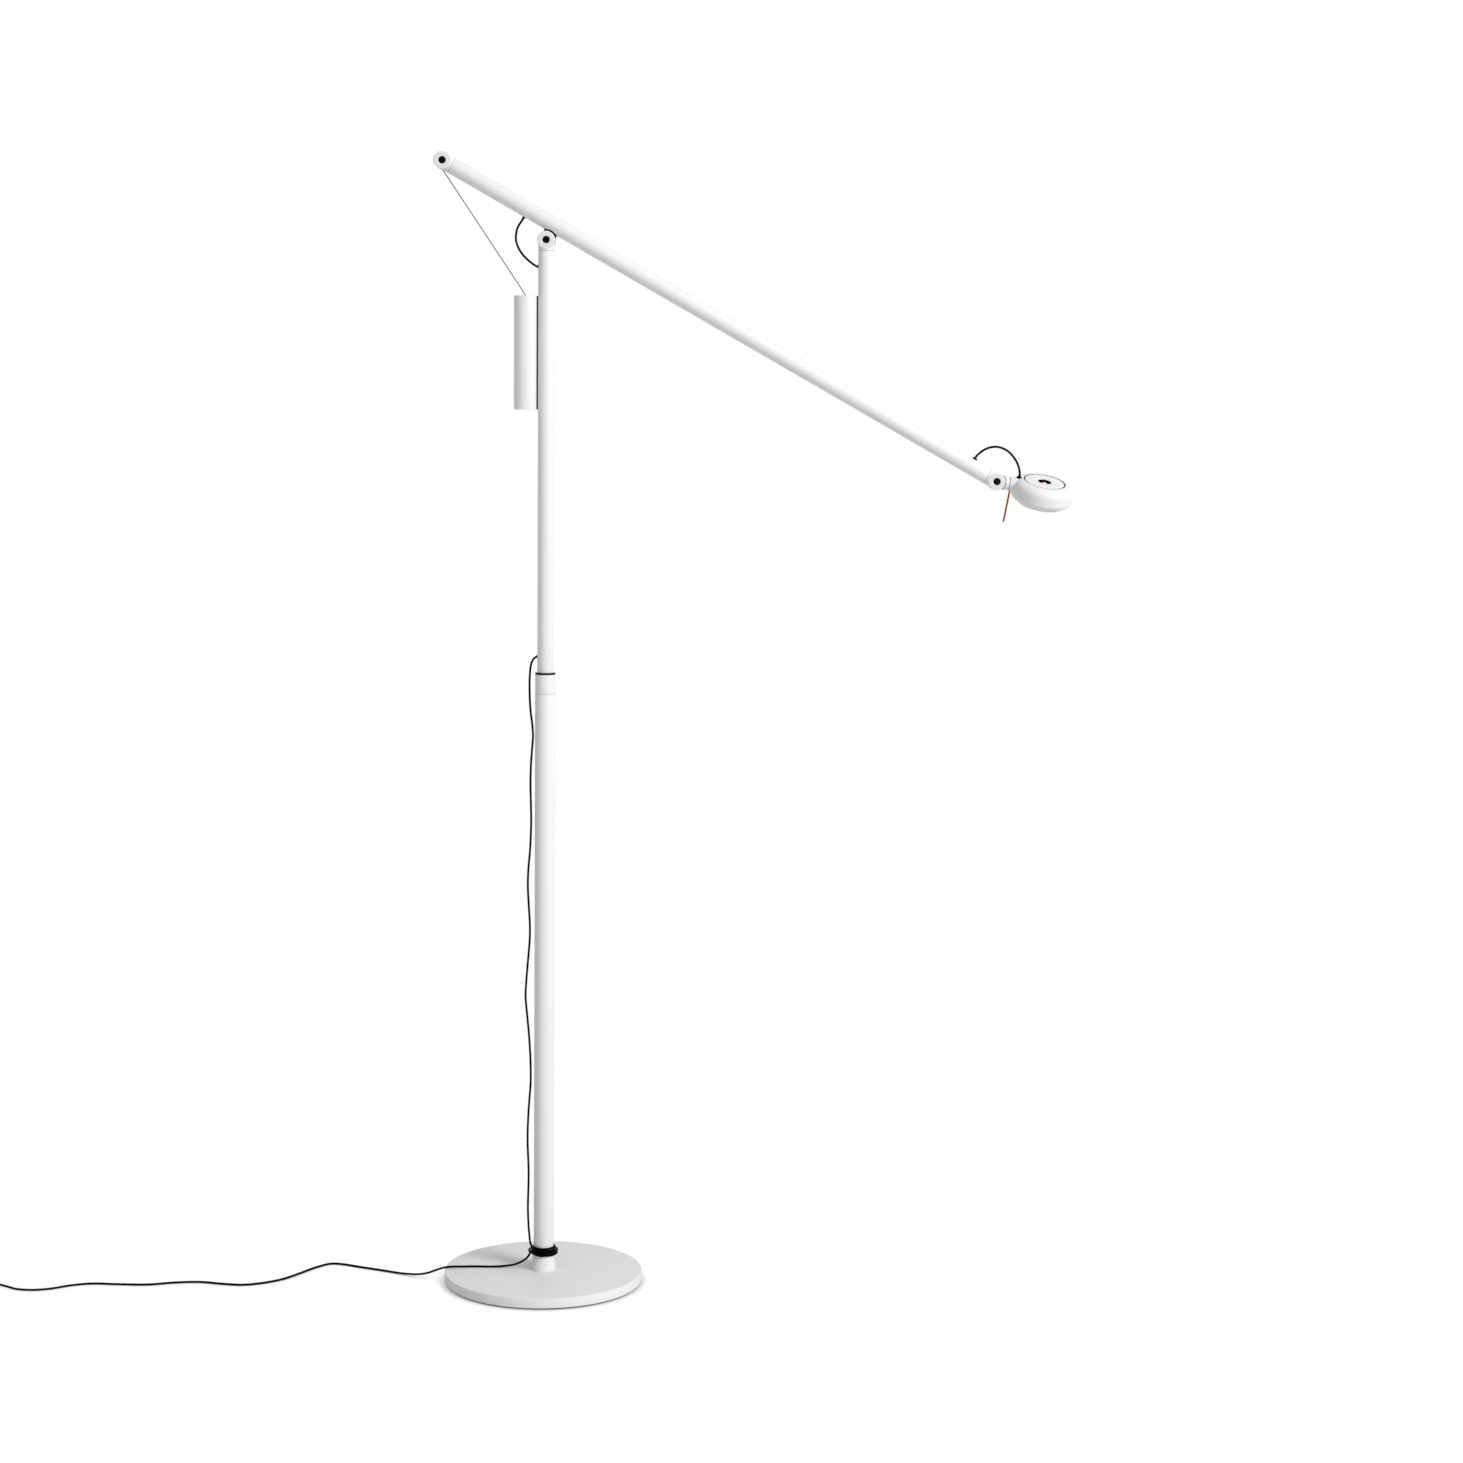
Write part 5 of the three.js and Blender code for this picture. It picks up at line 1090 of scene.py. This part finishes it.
# %%
NECK_RADIUS, NECK_SEAM, HEAD_SEAM = 8.7, 16.3, 16.7
HEAD_RADIUS, HOLLOW_RADIUS, MOUTH_RADIUS = 38.2, 34.5, 25.6
HEAD_TOP, HEAD_FOOT, LEAD_SEAT = 10.1, -16.0, 9.1
WEB = HEAD_TOP - 5.4
COVER_SEAT, COVER_TOP = HEAD_TOP - 2.3, HEAD_TOP - 0.2
COVER_RADIUS, GROOVE_RADIUS, COVER_HOLE, WELL_HOLE = 24.5, 26.1, 8.45, 8.6
LINER_RADIUS = 11.66
DISC = HEAD @ moved(HEAD_REACH)
handle_x = local_x(HEAD, "handle_pin")
lead_x = local_x(HEAD, "head_grommet")


def neck():
    shape = rod("neck", NECK_RADIUS, 0, NECK_SEAM - 0.15, ALONG, 96, edge=0.2)
    cut(shape, rod("hollow", BARREL + 1.0, -20, 20, ACROSS, 96))
    join(shape, box("tongue", (0, -TONGUE_HALF, -6), (NECK_SEAM - 1, TONGUE_HALF, 6)),
         rod("tongue end", TONGUE_END, -TONGUE_HALF, TONGUE_HALF, ACROSS, 96))
    cut(shape, rod("pin bore", PIN_BORE, -6, 6, ACROSS, 48),
        rod("thread", 3.6, NECK_SEAM - 3.4, NECK_SEAM + 2, ALONG, 48))
    return laid(shape, NECK)


def hinge_liner():
    """Black nylon liner in the neck's hollow end, round the arm's cheeks."""
    inner, outside = LINER_RADIUS - 0.68, NECK_RADIUS - 0.2
    shape = lathe("hinge liner", band(inner, LINER_RADIUS, -8, 8), ACROSS, 128, ring=True)
    cut(shape, lathe("outside", band(outside, 30, -20, 30), ALONG, 96, ring=True),
        box("behind", (-20, -20, -20), (2, 20, 20)), box("tongue room", (-20, -3.7, -6.1), (20, 3.7, 6.1)))
    return laid(shape, NECK)


def head_housing():
    """Thick hollow disc with a large soft top rim and a tighter lower one, and the flare of the neck."""
    disc = lathe("head housing", [
        (MOUTH_RADIUS, HEAD_FOOT, 0.3), (HEAD_RADIUS, HEAD_FOOT, 7), (HEAD_RADIUS, HEAD_TOP, 11),
        (GROOVE_RADIUS, HEAD_TOP, 0.3), (GROOVE_RADIUS, COVER_SEAT), (WELL_HOLE, COVER_SEAT),
        (WELL_HOLE, WEB), (HOLLOW_RADIUS, WEB), (HOLLOW_RADIUS, HEAD_FOOT + 4.5),
        (MOUTH_RADIUS, HEAD_FOOT + 4.5),
    ], DISC, 192, ring=True, steps=14)
    start, end = HEAD_REACH - HEAD_RADIUS, HEAD_REACH - HEAD_RADIUS + 11
    join(disc, lathe("flare", [
        (0, HEAD_SEAM + 0.15), (NECK_RADIUS, HEAD_SEAM + 0.15, 0.2), (NECK_RADIUS, start - 2, 6),
        (NECK_RADIUS + 0.9, start + 2.5, 5), (NECK_RADIUS + 0.9, end), (0, end),
    ], HEAD @ ALONG, 128))
    pocket = HEAD_SEAM + 4.8
    cut(disc,
        rod("screw way", 3.65, HEAD_SEAM - 2, pocket + 1, HEAD @ ALONG, 48),
        rod("screw pocket", 6.3, pocket, HEAD_REACH / 2 + 5, HEAD @ ALONG, 64),
        rod("chamber", HOLLOW_RADIUS - 0.05, HEAD_FOOT + 4.55, WEB - 0.05, DISC, 192),
        rod("handle hole", 1.25, -20, -NECK_RADIUS + 3.2, HEAD @ moved(handle_x), 32),
        rod("lead hole", LEAD_HOLE, 0, 14, HEAD @ moved(lead_x), 32),
        rod("lead seat", 3.5, LEAD_SEAT, 14, HEAD @ moved(lead_x), 48))
    return disc


finish_piece(neck(), "neck", "white_paint_aluminium", "neck_knuckle")
finish_piece(hinge_liner(), "neck", "black_plastic", "neck_knuckle")
finish_piece(head_housing(), "head", "white_paint_aluminium", "head_housing")
seam_ring("neck seam", "head", "head_housing", HEAD @ ALONG, NECK_RADIUS, NECK_SEAM - 0.1, HEAD_SEAM + 0.12)
turned_piece("head cover", "head", "white_paint_aluminium", "head_cover", [
    (COVER_HOLE, COVER_SEAT + 0.2), (COVER_RADIUS, COVER_SEAT + 0.2), (COVER_RADIUS, COVER_TOP, 0.3),
    (COVER_HOLE, COVER_TOP, 0.35),
], DISC, 192, ring=True)
turned_piece("cover gasket", "head", "black_rubber", "head_cover", [
    (COVER_RADIUS + 0.02, HEAD_TOP - 2.2), (GROOVE_RADIUS - 0.02, HEAD_TOP - 2.2),
    (GROOVE_RADIUS - 0.02, HEAD_TOP - 0.35, 0.1), (COVER_RADIUS + 0.02, HEAD_TOP - 0.35, 0.1),
], DISC, 192, ring=True)
well_rim, well_floor = HEAD_TOP - 0.5, WEB - 0.2
turned_piece("switch well", "head", "black_plastic", "switch_cup", [
    (2.15, WEB - 1.2), (10.8, WEB - 1.2), (10.8, well_floor), (8.3, well_floor), (8.3, well_rim, 0.25),
    (7.5, well_rim, 0.25), (7.5, well_floor, 0.8), (2.15, well_floor),
], DISC, 96, ring=True)
turned_piece("dimmer button", "dimmer", "pink_plastic", "dimmer_button", [
    (0, WEB - 2.4), (2, WEB - 2.4), (2, WEB + 1), (2.9, WEB + 1, 0.2), (2.9, WEB + 3.4, 0.6), (0, WEB + 3.4),
], DISC, 64)
ring_low, ring_top = HEAD_FOOT - 4.0, HEAD_FOOT - 0.2
turned_piece("lens ring", "head", "white_paint_aluminium", "lens_ring", [
    (22.5, ring_low, 0.25), (28.2, ring_low, 1.0), (28.2, ring_top, 0.2), (25.3, ring_top),
    (25.3, ring_top + 3.3, 0.2), (24.5, ring_top + 3.3, 0.2), (24.5, ring_top), (22.5, ring_top, 0.2),
], DISC, 192, ring=True)
diffuser = rod("diffuser", 24.3, HEAD_FOOT, HEAD_FOOT + 2, DISC, 128, edge=0.3)
finish_piece(diffuser, "head", "frosted_acrylic", "diffuser")
turned_piece("handle pin", "head", "orange_paint", "handle_pin", [
    (0, -50.4), (1.15, -50.4, 1.05), (1.15, -NECK_RADIUS + 3.0, 0.2), (0, -NECK_RADIUS + 3.0),
], HEAD @ moved(handle_x), 48)
place = out_of(HEAD, (0, 0, 1), (lead_x, 0, LEAD_SEAT))
grommet("head grommet", "head", "head_grommet", place, *LARGE_GROMMET)
dress(STEEL, "swivel_screw", "spreader_screw_1", "spreader_screw_2")
dress(ALUMINIUM, "heat_spreader")
dress(GREEN_BOARD, "dimmer_board")
dress(LED_BOARD, "led_board")
dress(WHITE_PLASTIC, "reflector")
print("neck and head")

# %% [markdown]
# ## Leads over the hinges
#
# Short slack loops carry the current past each hinge, so that the arm and the head can move. The one at the
# head crosses two joints, tilt and roll, so it is two pieces that meet two thirds of the way along the arch,
# over the part that only tilts.

# %%
def loop_line(start, between, end, origin):
    """Smooth lead from one body to the next; the places between are in millimetres from the joint."""
    base = np.array(origin) / MM
    return eased(even(through(start + [base + np.array(p) for p in between] + end), 0.9), 4)


def pivot_lead():
    under = ARM_RISE - UPPER_TUBE
    arm_side = in_row(ARM, *[(tail_hole, 0, under - down) for down in (3.0, 1.0, -1.0)])
    from_stem = [
        (-9.2, 0, -32.3), (-11.0, 0, -32.3), (-13.6, 0, -31.2), (-17.6, 0.7, -28.5), (-23.8, 1.9, -23.5),
        (-30.1, 3.0, -16.9), (-34.8, 3.6, -9.4), (-37.3, 3.8, -2.6), (-37.9, 3.8, 2.4), (-37.2, 3.2, 9.0),
        (-35.2, 1.6, 15.6),
    ]
    return loop_line([], from_stem, arm_side, PIVOT_AT)


def head_lead():
    arm_side = in_row(ARM, *[(head_hole, 0, ARM_RISE + up) for up in (9.0, 12.0, 15.0)])
    head_side = in_row(HEAD, *[(lead_x, 0, LEAD_SEAT + up) for up in (5.5, 2.4, -1.0)])
    between = [
        (-22.6, -0.1, 33.4), (-17.6, -0.3, 37.6), (-10.6, -0.6, 41.1), (-1.8, -1.1, 42.6), (6.0, -1.7, 41.2),
        (13.1, -2.4, 37.5), (19.0, -3.1, 31.9), (23.6, -3.8, 25.6), (26.6, -4.3, 18.9),
    ]
    return loop_line(arm_side, between, head_side, HEAD_AT)


TILT_SHARE = 0.66
loop = pivot_lead()
lead = cord("pivot lead", loop, CORD, CORD_PVC)
finish_piece(lead, None, "black_cord", "pivot_lead")
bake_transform(lead)
arch = head_lead()
split = int(len(arch) * TILT_SHARE)
first = cord("head lead, arm side", arch[:split + 1], CORD, CORD_PVC)
second = cord("head lead, head side", arch[split:], CORD, CORD_PVC)
finish_piece(first, None, "black_cord", "head_lead")
finish_piece(second, None, "black_cord", "head_lead")
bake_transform(first)
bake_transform(second)
print(f"leads: {line_length(loop):.0f} mm at the pivot, {line_length(arch):.0f} mm at the head")

# %% [markdown]
# ## Cord and supply
#
# The cord's line was laid out before the base. Here it becomes a tube and meets the supply: a rounded black
# box with a ribbed strain relief and two round pins with insulating sleeves.

# %%
power = cord("power cord", power_line, CORD, CORD_PVC, 14)
finish_piece(power, None, "black_cord", "cord_hanging", "cord_wraps", "cord_floor", "cord_coil", "cord_tail")
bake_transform(power)


def relief():
    """Core and ribs of the strain relief, pointing along +Y from the supply."""
    low, high = limits("adapter_relief")
    length, bore, ribs = high.y - low.y, CORD / 2 + 0.05, 6
    profile = [(bore, 0), (3.4, 0, 0.2)]
    for k in range(ribs):
        y = 1.5 + k * (length - 3.5) / ribs
        wide = 3.4 - 1.3 * (k + 0.5) / ribs
        profile += [(wide, y, 0.25), (wide, y + 1.3, 0.25)]
        profile += [(wide - 0.65, y + 1.6, 0.15), (wide - 0.72, y + 2.2, 0.15)]
    profile += [(1.95, length - 0.2, 0.3), (bore, length - 0.2)]
    foot = middle("adapter_relief")._replace(y=low.y)
    return lathe("strain relief", profile, turned_to((0, 1, 0), foot), 48, ring=True, steps=3)


def bevelled(obj, width, segments, limit="ANGLE"):
    bevel = obj.modifiers.new("rounding", "BEVEL")
    bevel.width, bevel.segments, bevel.limit_method = width * MM, segments, limit
    return baked(obj)


def supply():
    """Rounded box with a fine groove at half its height, where its two shells meet."""
    low, high = limits("adapter_body")
    shape = box("supply", [v + 0.05 for v in low], [v - 0.05 for v in high])
    bevelled(shape, 4.0, 6, "NONE")
    mid = middle("adapter_body").z
    groove = box("seam", (low.x - 1, low.y - 1, mid - 0.2), (high.x + 1, high.y + 1, mid + 0.2))
    cut(groove, box("core", (low.x + 0.4, low.y + 0.4, mid - 1), (high.x - 0.4, high.y - 0.4, mid + 1)))
    return shade(cut(shape, groove), 30)


def plug():
    """Plate with two round pins; the near half of each pin has a black sleeve."""
    low, high = limits("adapter_plug")
    centre, face = middle("adapter_plug"), high.y
    pitch, sleeve_end, pin_end = 19, 9.5, 18
    plate = bevelled(box("plug plate", (low.x, face - 2, low.z), (high.x, face, high.z)), 0.6, 3)
    parts = [plate]
    for side in (-1, 1):
        at = turned_to((0, -1, 0), (centre.x + side * pitch / 2, face - 1, centre.z))
        parts.append(rod("sleeve", 1.9, 0, sleeve_end, at, 32, edge=0.2))
        parts.append(rod("pin", 2.0, sleeve_end, pin_end, at, 32, edge=0.9))
    bpy.ops.object.select_all(action="DESELECT")
    for part in parts:
        part.data.materials.append(BRASS if part.name.startswith("pin") else BLACK_PLASTIC)
        part.select_set(True)
    bpy.context.view_layer.objects.active = plate
    bpy.ops.object.join()
    plate.name = "plug"
    return shade(plate)


strain_relief = finish_piece(relief(), "stand", "black_rubber", "adapter_relief")
finish_piece(supply(), "stand", "black_plastic", "adapter_body")
finish_piece(plug(), "stand", "bare_brass", "adapter_plug")
print("cord, relief, supply and plug")
